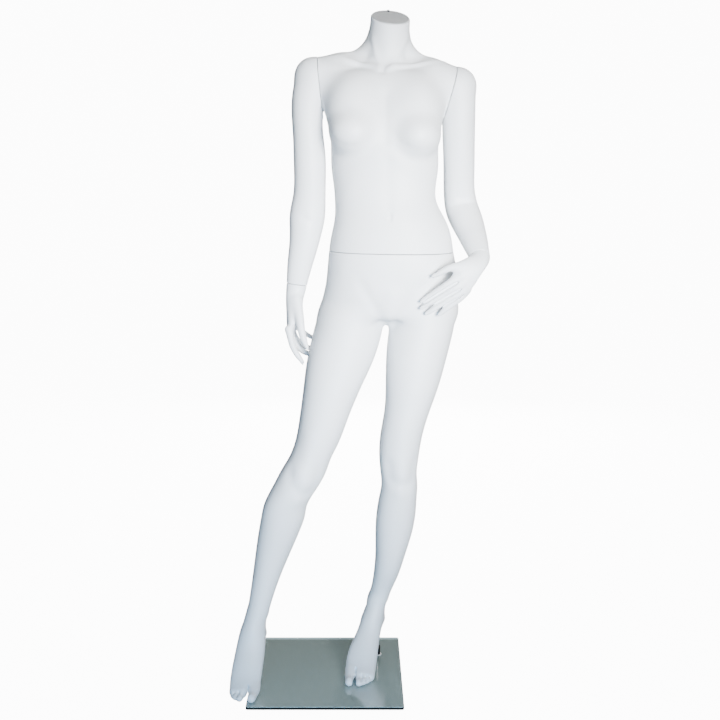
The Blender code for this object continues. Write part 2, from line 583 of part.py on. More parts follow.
def drill(obj, holes):
    """Cuts round holes, each given as (place, profile), out of an object."""
    cutters = []
    for place, profile in holes:
        cutter = add_object("cutter", turned(profile), "steel", place)
        cutter.hide_render = True
        cutter.display_type = "WIRE"
        cut = obj.modifiers.new("hole", "BOOLEAN")
        cut.object = cutter
        cut.operation = "DIFFERENCE"
        cutters.append(cutter)
    apply_modifiers(obj)
    for cutter in cutters:
        bpy.data.objects.remove(cutter)


def outline_of(shape, place, low, high, inset, count=40):
    """The section of a shape at a place, as (x, y) in the place's own axes.

    It is the smaller of the sections at the two heights, so that a plate with this
    outline fits between them."""
    turn = np.array(place)[:3, :3]
    origin = np.array(place)[:3, 3]
    angles = np.linspace(0.0, 2 * pi, count, endpoint=False)
    rays = np.cos(angles)[:, None] * turn[:, 0] + np.sin(angles)[:, None] * turn[:, 1]
    reach = np.full(count, np.inf)
    for height in (low, high):
        start = origin + turn[:, 2] * height
        near, far = np.zeros(count), np.full(count, 0.25)
        for step in np.linspace(0.01, 0.25, 49):
            out = shape(start + rays * step) > 0.0
            far = np.where(out & (far == 0.25), step, far)
        near = far - 0.006
        for _ in range(14):
            middle = (near + far) / 2
            out = shape(start + rays * middle[:, None]) > 0.0
            far, near = np.where(out, middle, far), np.where(out, near, middle)
        reach = np.minimum(reach, near)
    reach = reach - inset
    return [(r * cos(a), r * sin(a)) for r, a in zip(reach, angles)]


def prism(outline, low, high):
    bm = bmesh.new()
    bottom = [bm.verts.new((x, y, low)) for x, y in outline]
    top = [bm.verts.new((x, y, high)) for x, y in outline]
    bm.faces.new(bottom)
    bm.faces.new(top)
    for i in range(len(outline)):
        j = (i + 1) % len(outline)
        bm.faces.new((bottom[i], bottom[j], top[j], top[i]))
    return bm


# ---- fibreglass pieces ----
def skin(shape, box, step):
    """A closed mesh of a shape's surface."""
    points, quads = surface_net(shape, *box, step)
    points = settle(shape, points, step)
    mesh = bpy.data.meshes.new("skin")
    mesh.from_pydata(points.tolist(), [], quads.tolist())
    bm = bmesh.new()
    bm.from_mesh(mesh)
    return bm


def with_fewer_faces(bm, triangles):
    mesh = bpy.data.meshes.new("skin")
    bm.to_mesh(mesh)
    bm.free()
    obj = bpy.data.objects.new("skin", mesh)
    bpy.context.scene.collection.objects.link(obj)
    fewer = obj.modifiers.new("fewer", "DECIMATE")
    fewer.ratio = min(1.0, triangles / (2.0 * len(mesh.polygons)))
    apply_modifiers(obj)
    bm = bmesh.new()
    bm.from_mesh(obj.data)
    bpy.data.objects.remove(obj)
    return bm


def cut_face(cut, side):
    """The plane of a cut face; side is -1 on the piece before the cut and 1 after it."""
    point, out = cut
    return point + out * (side * SEAM_GAP / 2), out * -side


def slice_off(bm, face, above):
    """Removes what lies past a cut face, above a level."""
    point, out = face
    faces = [f for f in bm.faces if min(v.co.z for v in f.verts) > above
             and max((v.co - point).dot(out) for v in f.verts) > -0.02]
    edges = {e for f in faces for e in f.edges}
    verts = {v for f in faces for v in f.verts}
    bmesh.ops.bisect_plane(bm, geom=list(verts) + list(edges) + faces, dist=1e-7,
                           plane_co=point, plane_no=out, clear_outer=True)


def flatten_rims(bm, faces):
    """Puts each open edge back on its own cut face; returns the edges of each rim."""
    rims = [[] for _ in faces]
    for edge in bm.edges:
        if not edge.is_boundary:
            continue
        gaps = [max(abs((v.co - point).dot(out)) for v in edge.verts) for point, out in faces]
        rims[gaps.index(min(gaps))].append(edge)
    for rim, (point, out) in zip(rims, faces):
        for vert in {v for e in rim for v in e.verts}:
            vert.co -= out * (vert.co - point).dot(out)
    return rims


def casting(shapes, box, step, triangles, cuts):
    """A closed body with flat cut faces. A second shape is the hollow, open at every cut."""
    faces = [cut_face(cut, side) for cut, side, _ in cuts]
    whole = bmesh.new()
    for shape, most in zip(shapes, triangles):
        bm = skin(shape, box, step)
        for face, (_, _, above) in zip(faces, cuts):
            slice_off(bm, face, above)
        bm = with_fewer_faces(bm, most)
        flatten_rims(bm, faces)
        mesh = bpy.data.meshes.new("layer")
        bm.to_mesh(mesh)
        bm.free()
        whole.from_mesh(mesh)
    for rim, (_, out) in zip(flatten_rims(whole, faces), faces):
        bmesh.ops.triangle_fill(whole, edges=rim, use_beauty=True, normal=out)
    return whole


# ---- fittings ----
def flat_screw(name, place, shank, head, grip, length, group):
    """A countersunk screw whose head is flush with z = 0 of its place."""
    profile = [(0.0, -length), (shank, -length), (shank, -grip), (head, 0.0), (0.0, 0.0)]
    return add_object(name, turned(profile), "steel", place, group)


def spread(place, count, radius, height):
    """Places on a circle about a place's Z."""
    angles = [2 * pi * i / count for i in range(count)]
    return [place @ Matrix.Translation((radius * cos(a), radius * sin(a), height)) for a in angles]


def turning_fitting(name, names, cut, hollows, sizes, groups):
    """A plug joint across a cut. The socket and its plate are on the side before the cut,
    the spigot and its plate on the side after it. The nylon ring turns in the socket,
    and the spigot slides out of the ring."""
    spigot, ring_out, depth = sizes["spigot"], sizes["ring"], sizes["depth"]
    flange, count = sizes["flange"], sizes["screws"]
    cup_in, cup_out = ring_out + FIT, ring_out + FIT + CUP_WALL
    seat = -RECESS + FIT
    top = seat + FLANGE
    circle = (cup_out + flange) / 2
    before = axes_at(cut)
    after = before @ Matrix.Rotation(pi, 4, "X")
    socket = [(cup_in, -depth), (cup_in, top), (flange, top), (flange, seat), (cup_out, seat),
              (cup_out, -depth - CUP_WALL), (0.0, -depth - CUP_WALL), (0.0, -depth)]
    tip = depth - 4 * FIT
    plug = [(0.0, seat), (flange, seat), (flange, top), (spigot, top), (spigot, tip - 0.001),
            (spigot - 0.001, tip), (0.0, tip)]
    well = rod_profile(cup_out + 2 * FIT, -0.05, 0.05)
    for i, (place, profile, part) in enumerate(((before, socket, "socket"), (after, plug, "spigot"))):
        group = groups[2 * i]
        back = -RECESS - FITTING_PLATE
        outline = outline_of(hollows[i], place, back, -RECESS, PLATE_INSET)
        plate = add_object(names[i], prism(outline, back, -RECESS), "fibreglass_plate", place, group,
                           smooth=False)
        fitting = add_object(f"{name}_{part}", turned(profile), "steel", place, group)
        screws = spread(place, count, circle, top)
        straight = rod_profile(SCREW_SHANK + FIT, -0.03, 0.01)
        flared = [(0.0, -0.01), (SCREW_SHANK + FIT, -0.01), (SCREW_SHANK + FIT, -FLANGE),
                  (SCREW_HEAD + FIT, 0.0), (SCREW_HEAD + FIT, 0.001), (0.0, 0.001)]
        drill(plate, [(where, straight) for where in screws] + ([(place, well)] if i == 0 else []))
        drill(fitting, [(where, flared) for where in screws])
        for number, where in enumerate(screws, 1):
            flat_screw(f"{name}_{part}_screw_{number}", where, SCREW_SHANK, SCREW_HEAD, FLANGE,
                       FLANGE + FITTING_PLATE + 0.003, group)
    ring = tube_profile(spigot + RUNNING_FIT, ring_out, -depth + FIT, top - FIT)
    add_object(name + "_turning_ring", turned(ring), "nylon", before, groups[1])


def wrist_fitting(name, cut, hollow, arm_group, ring_group, hand_group):
    """The same plug joint, small: the cup is set in the forearm's end plate. The spigot is
    set in the hand, whose hole this returns."""
    before = axes_at(cut)
    after = before @ Matrix.Rotation(pi, 4, "X")
    cup_in, cup_out = WRIST_RING + FIT, WRIST_RING + FIT + 0.0012
    top = -SEAM_GAP
    outline = outline_of(hollow, before, top - WRIST_PLATE, top, PLATE_INSET, 24)
    plate = add_object(name + "_end_plate", prism(outline, top - WRIST_PLATE, top), "fibreglass_plate",
                       before, arm_group, smooth=False)
    drill(plate, [(before, rod_profile(cup_out + 2 * FIT, -0.05, 0.05))])
    cup = [(cup_in, -WRIST_DEPTH), (cup_in, top), (cup_out, top), (cup_out, -WRIST_DEPTH - 0.0012),
           (0.0, -WRIST_DEPTH - 0.0012), (0.0, -WRIST_DEPTH)]
    add_object(name + "_socket", turned(cup), "steel", before, arm_group)
    ring = tube_profile(WRIST_SPIGOT + RUNNING_FIT, WRIST_RING, -WRIST_DEPTH + FIT, top - FIT)
    add_object(name + "_turning_ring", turned(ring), "nylon", before, ring_group)
    pin = rod_profile(WRIST_SPIGOT, FIT - WRIST_DEPTH, WRIST_DEPTH - 4 * FIT, 0.0008)
    add_object(name + "_spigot", turned(pin), "steel", after, hand_group)
    return after, rod_profile(WRIST_SPIGOT + FIT, -WRIST_DEPTH, 0.05)


# ---- the pieces ----
def make_base(group):
    x, y = PLATE_CENTRE
    half, corner = PLATE_SIZE / 2, 0.006
    outline = []
    for quarter, (sx, sy) in enumerate(((1, 1), (-1, 1), (-1, -1), (1, -1))):
        for i in range(5):
            angle = (quarter + i / 4) * pi / 2
            outline.append((sx * (half - corner) + corner * cos(angle),
                            sy * (half - corner) + corner * sin(angle)))
    centre = Matrix.Translation((x, y, 0.0))
    glass = add_object("glass_base_plate", prism(outline, BUMPER_HEIGHT, PLATE_TOP), "glass", centre, group,
                       smooth=False)
    bevel = glass.modifiers.new("arris", "BEVEL")
    bevel.width = 0.0006
    bevel.limit_method = "ANGLE"
    bevel.angle_limit = pi / 3
    apply_modifiers(glass)
    rod_place = Matrix.Translation((*ROD_AT, 0.0))
    drill(glass, [(rod_place, rod_profile(0.0060, -0.01, 0.03))])
    far = half - BUMPER_INSET
    corners = {"front_right": (-far, -far), "front_left": (far, -far),
               "rear_right": (-far, far), "rear_left": (far, far)}
    for name, (dx, dy) in corners.items():
        profile = [(0.0, 0.0), (BUMPER_RADIUS - 0.0015, 0.0), (BUMPER_RADIUS, 0.0015),
                   (BUMPER_RADIUS, BUMPER_HEIGHT - FIT), (0.0, BUMPER_HEIGHT - FIT)]
        add_object("bumper_" + name, turned(profile), "clear_rubber",
                   Matrix.Translation((x + dx, y + dy, 0.0)), group)
    washer = 0.0010
    under = BUMPER_HEIGHT - FIT - washer
    bolt = [(0.0, 0.0006), (0.0105, 0.0006), (0.0105, under - FIT), (ROD_RADIUS, under - FIT),
            (ROD_RADIUS, BOLT_TOP), (0.0, BOLT_TOP)]
    add_object("base_bolt", turned(bolt), "steel", rod_place, group)
    hole = ROD_RADIUS + FIT
    add_object("lower_washer", turned(tube_profile(hole, 0.0115, under, under + washer)), "nylon",
               rod_place, group)
    over = PLATE_TOP + FIT
    add_object("upper_washer", turned(tube_profile(hole, 0.0115, over, over + washer)), "nylon",
               rod_place, group)
    collar_low = over + washer + FIT
    collar = add_object("rod_collar", turned(tube_profile(hole, COLLAR_RADIUS, collar_low, COLLAR_TOP)),
                        "dark_steel", rod_place, group)
    rear = Matrix.Translation((*ROD_AT, COLLAR_TOP - 0.006)) @ Matrix.Rotation(-pi / 2, 4, "X")
    drill(collar, [(rear, rod_profile(0.0018, 0.0, 0.02))])
    add_object("collar_set_screw", turned(rod_profile(0.0015, hole, COLLAR_RADIUS + 0.0008)), "steel",
               rear, group)
    add_object("foot_rod", turned(rod_profile(ROD_RADIUS, BOLT_TOP + FIT, ROD_TOP, 0.0008)), "steel",
               rod_place, group)


def make_lower_body(group):
    body = add_object("lower_body_shell",
                      casting((lower_body, leg_hollow), ((-0.340, -0.200, -0.010), (0.270, 0.190, 1.130)),
                              BODY_STEP, LOWER_TRIANGLES, [(WAIST, -1, 1.0)]),
                      "fibreglass", None, group)
    rod_place = Matrix.Translation((*ROD_AT, 0.0))
    drill(body, [(rod_place, rod_profile(SLEEVE_RADIUS + FIT, 0.02, ROD_TOP + 0.0025 + FIT))])
    sleeve_top = ROD_TOP + 0.0025
    sleeve = [(ROD_RADIUS + FIT, SLEEVE_LOW), (SLEEVE_RADIUS, SLEEVE_LOW), (SLEEVE_RADIUS, sleeve_top),
              (0.0, sleeve_top), (0.0, sleeve_top - 0.0015), (ROD_RADIUS + FIT, sleeve_top - 0.0015)]
    add_object("heel_rod_sleeve", turned(sleeve), "steel", rod_place, group)


def make_torso(group):
    add_object("torso_shell",
               casting((torso, inside(torso)), ((-0.150, -0.150, 1.020), (0.290, 0.170, 1.690)),
                       BODY_STEP, TORSO_TRIANGLES,
                       [(WAIST, 1, 0.9), (NECK_TOP, -1, 1.50), (RIGHT_SHOULDER, -1, RIGHT_ARMPIT - 0.006),
                        (LEFT_SHOULDER, -1, LEFT_ARMPIT - 0.006)]),
               "fibreglass", None, group)
    place = axes_at(NECK_TOP)
    low = FIT - SEAM_GAP / 2
    high = low + NECK_CAP_THICK
    cap = prism(outline_of(torso, place, low, high, NECK_CAP_INSET), low, high)
    cap = add_object("neck_cap", cap, "neck_cap", place, group, smooth=False)
    rear = place @ Matrix.Translation(NECK_SCREW_AT + (high,))
    drill(cap, [(rear, rod_profile(0.0018, -0.02, 0.01))])
    knob = [(0.0, -0.008), (0.0015, -0.008), (0.0015, FIT), (0.0034, FIT), (0.0034, 0.0022), (0.0022, 0.0032),
            (0.0, 0.0032)]
    add_object("neck_cap_screw", turned(knob), "dark_steel", rear, group)


def make_arm(name, arm, box, shoulder, wrist, group):
    return add_object(name + "_shell",
                      casting((arm, inside(arm)), box, BODY_STEP, ARM_TRIANGLES,
                              [(shoulder, 1, 0.9), (wrist, -1, 0.9)]),
                      "fibreglass", None, group)


def make_hand(name, shape, box, wrist, group):
    return add_object(name, casting((shape,), box, HAND_STEP, (HAND_TRIANGLES,), [(wrist, 1, 0.8)]),
                      "fibreglass", None, group)


def build():
    for obj in list(bpy.data.objects):
        bpy.data.objects.remove(obj)
    stand = add_group("stand", Matrix.Translation((*PLATE_CENTRE, 0.0)))
    figure = add_group("figure", Matrix.Translation((*ROD_AT, SLEEVE_LOW)))
    waist_ring = add_group("waist_ring", axes_at(WAIST))
    upper = add_group("upper_body", axes_at(WAIST))
    make_base(stand)
    make_lower_body(figure)
    make_torso(upper)
    turning_fitting("waist", ("hip_top_plate", "torso_waist_plate"), WAIST, (leg_hollow, inside(torso)),
                    WAIST_SIZES, (figure, waist_ring, upper))
    sides = (
        ("right", right_arm, ((-0.200, -0.040, 0.940), (-0.040, 0.130, 1.560)), RIGHT_SHOULDER,
         right_hand, ((-0.210, -0.030, 0.780), (-0.080, 0.130, 1.050)), RIGHT_WRIST),
        ("left", left_arm, ((0.170, -0.120, 1.010), (0.330, 0.150, 1.540)), LEFT_SHOULDER,
         left_hand, ((0.120, -0.130, 0.920), (0.340, 0.010, 1.130)), LEFT_WRIST))
    for side, arm, arm_box, shoulder, palm, hand_box, wrist in sides:
        shoulder_ring = add_group(side + "_shoulder_ring", axes_at(shoulder))
        arm_group = add_group(side + "_arm", axes_at(shoulder))
        wrist_ring = add_group(side + "_wrist_ring", axes_at(wrist))
        hand_group = add_group(side + "_hand_group", axes_at(wrist))
        make_arm(side + "_arm", arm, arm_box, shoulder, wrist, arm_group)
        turning_fitting(side + "_shoulder", (side + "_shoulder_plate", side + "_arm_top_plate"), shoulder,
                        (inside(torso), inside(arm)), SHOULDER_SIZES, (upper, shoulder_ring, arm_group))
        piece = make_hand(side + "_hand", palm, hand_box, wrist, hand_group)
        drill(piece, [wrist_fitting(side + "_wrist", wrist, inside(arm), arm_group, wrist_ring, hand_group)])


build()
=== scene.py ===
"""Full body display mannequin: the fine surface, the materials and the studio.

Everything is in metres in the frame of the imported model: +Z is up and the figure faces -Y,
so its own left is at +X.
"""
import json
from math import cos, pi, radians, sin

import bmesh
import bpy
import numpy as np
from mathutils import Matrix, Vector


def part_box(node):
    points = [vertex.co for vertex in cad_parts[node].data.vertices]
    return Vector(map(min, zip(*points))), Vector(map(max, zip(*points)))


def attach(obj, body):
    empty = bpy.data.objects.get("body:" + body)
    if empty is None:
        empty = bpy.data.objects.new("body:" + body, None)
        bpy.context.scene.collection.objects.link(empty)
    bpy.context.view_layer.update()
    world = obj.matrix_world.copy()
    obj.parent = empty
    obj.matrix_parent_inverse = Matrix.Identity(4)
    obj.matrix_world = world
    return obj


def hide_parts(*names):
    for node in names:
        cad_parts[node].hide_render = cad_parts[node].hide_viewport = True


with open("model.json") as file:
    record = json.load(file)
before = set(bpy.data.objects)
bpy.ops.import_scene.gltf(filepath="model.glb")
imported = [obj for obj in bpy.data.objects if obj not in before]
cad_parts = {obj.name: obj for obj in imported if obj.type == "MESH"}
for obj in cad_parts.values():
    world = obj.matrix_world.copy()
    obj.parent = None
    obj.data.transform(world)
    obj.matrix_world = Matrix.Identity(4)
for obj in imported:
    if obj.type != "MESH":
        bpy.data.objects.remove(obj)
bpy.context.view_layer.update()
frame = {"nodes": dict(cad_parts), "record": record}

# ---- driving dimensions ----
WALL = 0.0040               # fibreglass wall
SEAM_GAP = 0.0014           # gap between two cut faces, wider than the model's so that it reads
RIM_SLANT = 0.8             # how far a rim leans in for each unit of its rounding
RIM_EDGE = 0.0009           # rounding at the edge of a cut face
CAVITY_FLOOR = 0.240        # the legs are solid below this level
ANKLE_CUT = 0.200           # the feet are drawn on finer cells below this level
ANKLE_BAND = 0.0025         # strip of faces that joins a foot to its leg
ARMPIT_SLACK = 0.006        # the shoulder cuts start this far below the armpits
BODY_STEP = 0.0034          # grid cells that the surfaces are drawn on
FOOT_STEP = 0.0017
ARM_STEP = 0.0028
HAND_STEP = 0.0014
HOLLOW_STEP = 0.0080
BATCH = 60000               # points measured at a time
WRIST_BORE = 0.0065         # radius and depth of the hole for each hand's plug
WRIST_BORE_DEPTH = 0.0180
ROD_CLEARANCE = 0.0003      # round the sleeve in the heel
ROD_MOUTH = 0.02015         # just below the heel's underside
GLASS_CORNER = 0.006
GLASS_ARRIS = 0.0008
GLASS_HOLE = 0.0060         # radius of the hole for the base bolt
CORNER_STEPS = 6
HOLE_SIDES = 32
FINGER_NAIL = (0.0085, 0.0042, 0.0022)
BIG_TOE_NAIL = (0.0070, 0.0064, 0.0026)
TOE_NAIL = (0.0042, 0.0042, 0.0022)
TOE_LEVEL = 0.060           # the toes are all below this level
TOE_GROOVE = (0.0034, 0.0034)   # width and depth of each groove
TOE_SLOT = (0.0030, 0.0160)     # beside the big toe
FINGER_GROOVE = (0.0030, 0.0085)
NAIL_LIFT = 0.45            # how far out of the finger a nail sits, in radii of the finger
TOE_NAIL_LIFT = 0.74
STUDIO_REACH = 12.0
WORLD_LIGHT = 0.13
FLOOR_GLOW = 12.0
WALL_GLOW = 12.0
CAMERA_PLACE = (0.004, -2.400, 1.223)
CAMERA_DIP = 9.54           # degrees below level
LENS = 49.9


# ---- shapes ----
# A shape is a function of points (one row each) that is negative inside and grows about
# like a distance.
def unit(v):
    v = np.asarray(v, float)
    return v / np.linalg.norm(v)


def soft_union(a, b, k):
    h = np.clip(0.5 + 0.5 * (b - a) / k, 0.0, 1.0)
    return b + (a - b) * h - k * h * (1.0 - h)


def spline(knots, values, at):
    """Natural cubic spline through values (one row for each knot), read at the given places."""
    knots, values, at = np.asarray(knots, float), np.asarray(values, float), np.asarray(at, float)
    n = len(knots)
    gap = np.diff(knots)
    slope = np.diff(values, axis=0) / gap[:, None]
    system, right = np.eye(n), np.zeros_like(values)
    for i in range(1, n - 1):
        system[i, i - 1:i + 2] = gap[i - 1], 2.0 * (gap[i - 1] + gap[i]), gap[i]
        right[i] = 6.0 * (slope[i] - slope[i - 1])
    bend = np.linalg.solve(system, right)
    at = np.clip(at, knots[0], knots[-1])
    i = np.clip(np.searchsorted(knots, at) - 1, 0, n - 2)
    h = gap[i][:, None]
    t, u = (at - knots[i])[:, None], (knots[i + 1] - at)[:, None]
    cubic = (bend[i] * u ** 3 + bend[i + 1] * t ** 3) / (6.0 * h)
    return cubic + (values[i] / h - bend[i] * h / 6.0) * u + (values[i + 1] / h - bend[i + 1] * h / 6.0) * t


def ball(p, centre, radii, turn=None):
    q = p - np.asarray(centre)
    if turn is not None:
        q = q @ turn
    radii = np.broadcast_to(np.asarray(radii, float), (3,))
    near = np.linalg.norm(q / radii, axis=1)
    slope = np.linalg.norm(q / radii ** 2, axis=1)
    return near * (near - 1.0) / np.maximum(slope, 1e-9)


def oval(u, v, half_u, half_v, power):
    """First-order distance to a superellipse."""
    a, b = np.abs(u / half_u), np.abs(v / half_v)
    near = np.maximum((a ** power + b ** power) ** (1.0 / power), 1e-6)
    slope = np.hypot((a / near) ** (power - 1.0) / half_u, (b / near) ** (power - 1.0) / half_v)
    return (near - 1.0) / slope


def loft(p, stations, power=2.0, end_round=0.02):
    """Level sections (z, left, right, front, back) joined by splines."""
    stations = np.asarray(stations, float)
    stations = stations[np.argsort(stations[:, 0])]
    left, right, front, back = spline(stations[:, 0], stations[:, 1:], p[:, 2]).T
    side = oval(p[:, 0] - (left + right) / 2, p[:, 1] - (front + back) / 2,
                (right - left) / 2, (back - front) / 2, power)
    ends = np.maximum(stations[0, 0] - p[:, 2], p[:, 2] - stations[-1, 0])
    return -soft_union(-side, -ends, end_round)


def limb(p, stations, side=(1.0, 0.0, 0.0), power=2.0, samples=48):
    """Oval sections (x, y, z, half along side, half across it) swept along a smooth line."""
    stations = np.asarray(stations, float)
    run = np.concatenate([[0.0], np.cumsum(np.linalg.norm(np.diff(stations[:, :3], axis=0), axis=1))])
    at = np.linspace(0.0, run[-1], samples)
    rows = spline(run, stations, at)
    centre = rows[:, :3]
    along = np.gradient(centre, axis=0)
    along /= np.linalg.norm(along, axis=1)[:, None]
    length = np.concatenate([[0.0], np.cumsum(np.linalg.norm(np.diff(centre, axis=0), axis=1))])
    out = np.empty(len(p))
    for first in range(0, len(p), BATCH):
        q = p[first:first + BATCH]
        near = np.argmin((centre ** 2).sum(1)[None] - 2.0 * q @ centre.T, axis=1)
        place = length[near] + ((q - centre[near]) * along[near]).sum(1)
        place = np.clip(place, 0.0, length[-1])
        mix = [np.interp(place, length, column) for column in np.hstack([rows, along]).T]
        mid, half_u, half_v, t = np.array(mix[:3]).T, mix[3], mix[4], np.array(mix[5:]).T
        t /= np.linalg.norm(t, axis=1)[:, None]
        u = np.asarray(side) - (t @ np.asarray(side))[:, None] * t
        u /= np.linalg.norm(u, axis=1)[:, None]
        v = np.cross(t, u)
        rest = q - mid
        du, dv, dt = (rest * u).sum(1), (rest * v).sum(1), (rest * t).sum(1)
        flat = oval(du, dv, half_u, half_v, power)
        tip = np.minimum(half_u, half_v)
        past = np.abs(dt) > 1e-4 * tip + 1e-5
        a, b, c = np.abs(du / half_u), np.abs(dv / half_v), np.abs(dt / tip)
        around = np.sqrt(a * a + b * b + c * c) + 1e-9
        slope = np.sqrt((a / half_u) ** 2 + (b / half_v) ** 2 + (c / tip) ** 2) / around
        ended = (place <= 0.0) | (place >= length[-1])
        out[first:first + BATCH] = np.where(ended & past, (around - 1.0) / slope, flat)
    return out


def fill_corners(value):
    """Fills the grid squares whose corners are in and out by turns, where a net would
    touch itself."""
    for _ in range(6):
        inside = value < 0.0
        filled = 0
        for axis in range(3):
            one, two = [np.eye(3, dtype=int)[(axis + s) % 3] for s in (1, 2)]
            size = np.array(value.shape) - one - two

            def corner(shift):
                return inside[tuple(slice(s, s + n) for s, n in zip(shift, size))]

            start = corner(0 * one)
            turns = (start == corner(one + two)) & (corner(one) == corner(two)) & (start != corner(one))
            where = np.argwhere(turns)
            where += one * start[turns][:, None]
            value[tuple(where.T)] = -1e-6
            filled += len(where)
        if not filled:
            return


def surface_net(field, low, high, step):
    """Quads near the field's zero surface, one vertex in each cell that it crosses."""
    low, high = np.asarray(low, float), np.asarray(high, float)
    coarse = 4
    cells = np.ceil((high - low) / (step * coarse)).astype(int)
    count = cells * coarse + 1

    def grid(every, number):
        axes = [low[i] + step * every * np.arange(number[i]) for i in range(3)]
        return np.stack(np.meshgrid(*axes, indexing="ij"), axis=-1)

    rough = field(grid(coarse, cells + 1).reshape(-1, 3)).reshape(cells + 1)
    pick = [np.clip((np.arange(n) + coarse // 2) // coarse, 0, c) for n, c in zip(count, cells)]
    value = rough[np.ix_(*pick)]
    close = np.abs(value) < 8.0 * step
    where = np.argwhere(close)
    value[close] = field(low + step * where)
    fill_corners(value)

    inside = value < 0.0
    corners = [(i, j, k) for i in (0, 1) for j in (0, 1) for k in (0, 1)]
    sizes = [n - 1 for n in count]
    window = lambda a, c: a[c[0]:c[0] + sizes[0], c[1]:c[1] + sizes[1], c[2]:c[2] + sizes[2]]
    filled = sum(window(inside, c).astype(np.int8) for c in corners)
    active = (filled > 0) & (filled < 8)
    cell = np.argwhere(active)
    number = np.full(sizes, -1)
    number[active] = np.arange(len(cell))
    total, crossings = np.zeros((len(cell), 3)), np.zeros(len(cell))
    for a in corners:
        for axis in range(3):
            if a[axis]:
                continue
            b = list(a)
            b[axis] = 1
            fa, fb = value[tuple((cell + a).T)], value[tuple((cell + b).T)]
            cross = (fa < 0.0) != (fb < 0.0)
            part = np.where(cross, fa / np.where(cross, fa - fb, 1.0), 0.0)
            place = np.tile(np.array(a, float), (len(cell), 1))
            place[:, axis] = part
            total += place * cross[:, None]
            crossings += cross
    points = low + step * (cell + total / crossings[:, None])
    quads = []
    for axis in range(3):
        one, two = [np.eye(3, dtype=int)[(axis + s) % 3] for s in (1, 2)]
        edges = np.argwhere(np.diff(inside.astype(np.int8), axis=axis) != 0)
        ok = np.all((edges - one - two >= 0) & (edges < np.array(sizes)), axis=1)
        edges = edges[ok]
        ring = [number[tuple((edges - s).T)] for s in (0 * one, one, one + two, two)]
        quad = np.stack(ring, axis=1)
        flip = inside[tuple(edges.T)]
        quad[~flip] = quad[~flip][:, ::-1]
        quads.append(quad)
    return points, np.concatenate(quads)


def settle(field, points, step, rounds=3):
    """Moves the points onto the field's zero surface along its slope."""
    small = 0.05 * step
    for _ in range(rounds):
        here = field(points)
        slope = np.stack([(field(points + small * e) - field(points - small * e)) / (2 * small)
                          for e in np.eye(3)], axis=1)
        move = here[:, None] * slope / np.maximum((slope ** 2).sum(1), 0.04)[:, None]
        size = np.linalg.norm(move, axis=1)[:, None]
        points = points - move * np.minimum(1.0, 0.5 * step / np.maximum(size, 1e-12))
    return points


# ---- the figure ----
# Level sections: height, left, right, front, back.
TRUNK = [
    (0.920, -0.095, 0.240, -0.060, 0.138), (0.960, -0.089, 0.243, -0.070, 0.146),
    (1.000, -0.080, 0.243, -0.076, 0.140), (1.040, -0.075, 0.238, -0.080, 0.128),
    (1.080, -0.071, 0.229, -0.080, 0.115), (1.120, -0.065, 0.222, -0.077, 0.106),
    (1.160, -0.057, 0.207, -0.071, 0.102), (1.200, -0.056, 0.187, -0.064, 0.101),
    (1.240, -0.059, 0.185, -0.062, 0.104), (1.280, -0.064, 0.190, -0.064, 0.112),
    (1.320, -0.065, 0.190, -0.068, 0.120), (1.360, -0.067, 0.193, -0.068, 0.126),
    (1.400, -0.077, 0.201, -0.062, 0.128), (1.440, -0.090, 0.212, -0.050, 0.126),
    (1.480, -0.094, 0.216, -0.034, 0.118), (1.505, -0.090, 0.212, -0.016, 0.108)]
RIGHT_LEG = [
    (0.165, -0.283, -0.230, -0.064, 0.000), (0.211, -0.275, -0.217, -0.058, 0.006),
    (0.275, -0.266, -0.194, -0.052, 0.038), (0.336, -0.258, -0.168, -0.053, 0.055),
    (0.397, -0.248, -0.143, -0.062, 0.053), (0.428, -0.242, -0.133, -0.067, 0.047),
    (0.458, -0.235, -0.127, -0.073, 0.040), (0.488, -0.222, -0.112, -0.078, 0.034),
    (0.518, -0.206, -0.093, -0.078, 0.034), (0.548, -0.190, -0.078, -0.076, 0.038),
    (0.578, -0.172, -0.067, -0.074, 0.044), (0.608, -0.159, -0.052, -0.073, 0.052),
    (0.668, -0.146, -0.028, -0.073, 0.064), (0.757, -0.134, 0.009, -0.072, 0.082),
    (0.816, -0.126, 0.036, -0.068, 0.094), (0.875, -0.113, 0.055, -0.064, 0.108),
    (0.905, -0.105, 0.060, -0.062, 0.116), (0.950, -0.090, 0.055, -0.055, 0.112)]
LEFT_LEG = [
    (0.165, 0.020, 0.074, 0.042, 0.108), (0.209, 0.033, 0.089, 0.034, 0.103),
    (0.242, 0.038, 0.101, 0.018, 0.099), (0.309, 0.043, 0.120, -0.008, 0.095),
    (0.375, 0.043, 0.137, -0.025, 0.089), (0.440, 0.047, 0.145, -0.040, 0.074),
    (0.472, 0.052, 0.146, -0.047, 0.066), (0.504, 0.057, 0.147, -0.052, 0.060),
    (0.536, 0.055, 0.145, -0.054, 0.058), (0.568, 0.052, 0.148, -0.055, 0.060),
    (0.630, 0.054, 0.158, -0.058, 0.070), (0.693, 0.064, 0.176, -0.062, 0.080),
    (0.754, 0.067, 0.197, -0.064, 0.091), (0.815, 0.068, 0.214, -0.064, 0.102),
    (0.875, 0.073, 0.229, -0.062, 0.114), (0.905, 0.078, 0.235, -0.060, 0.120),
    (0.950, 0.085, 0.238, -0.055, 0.116)]
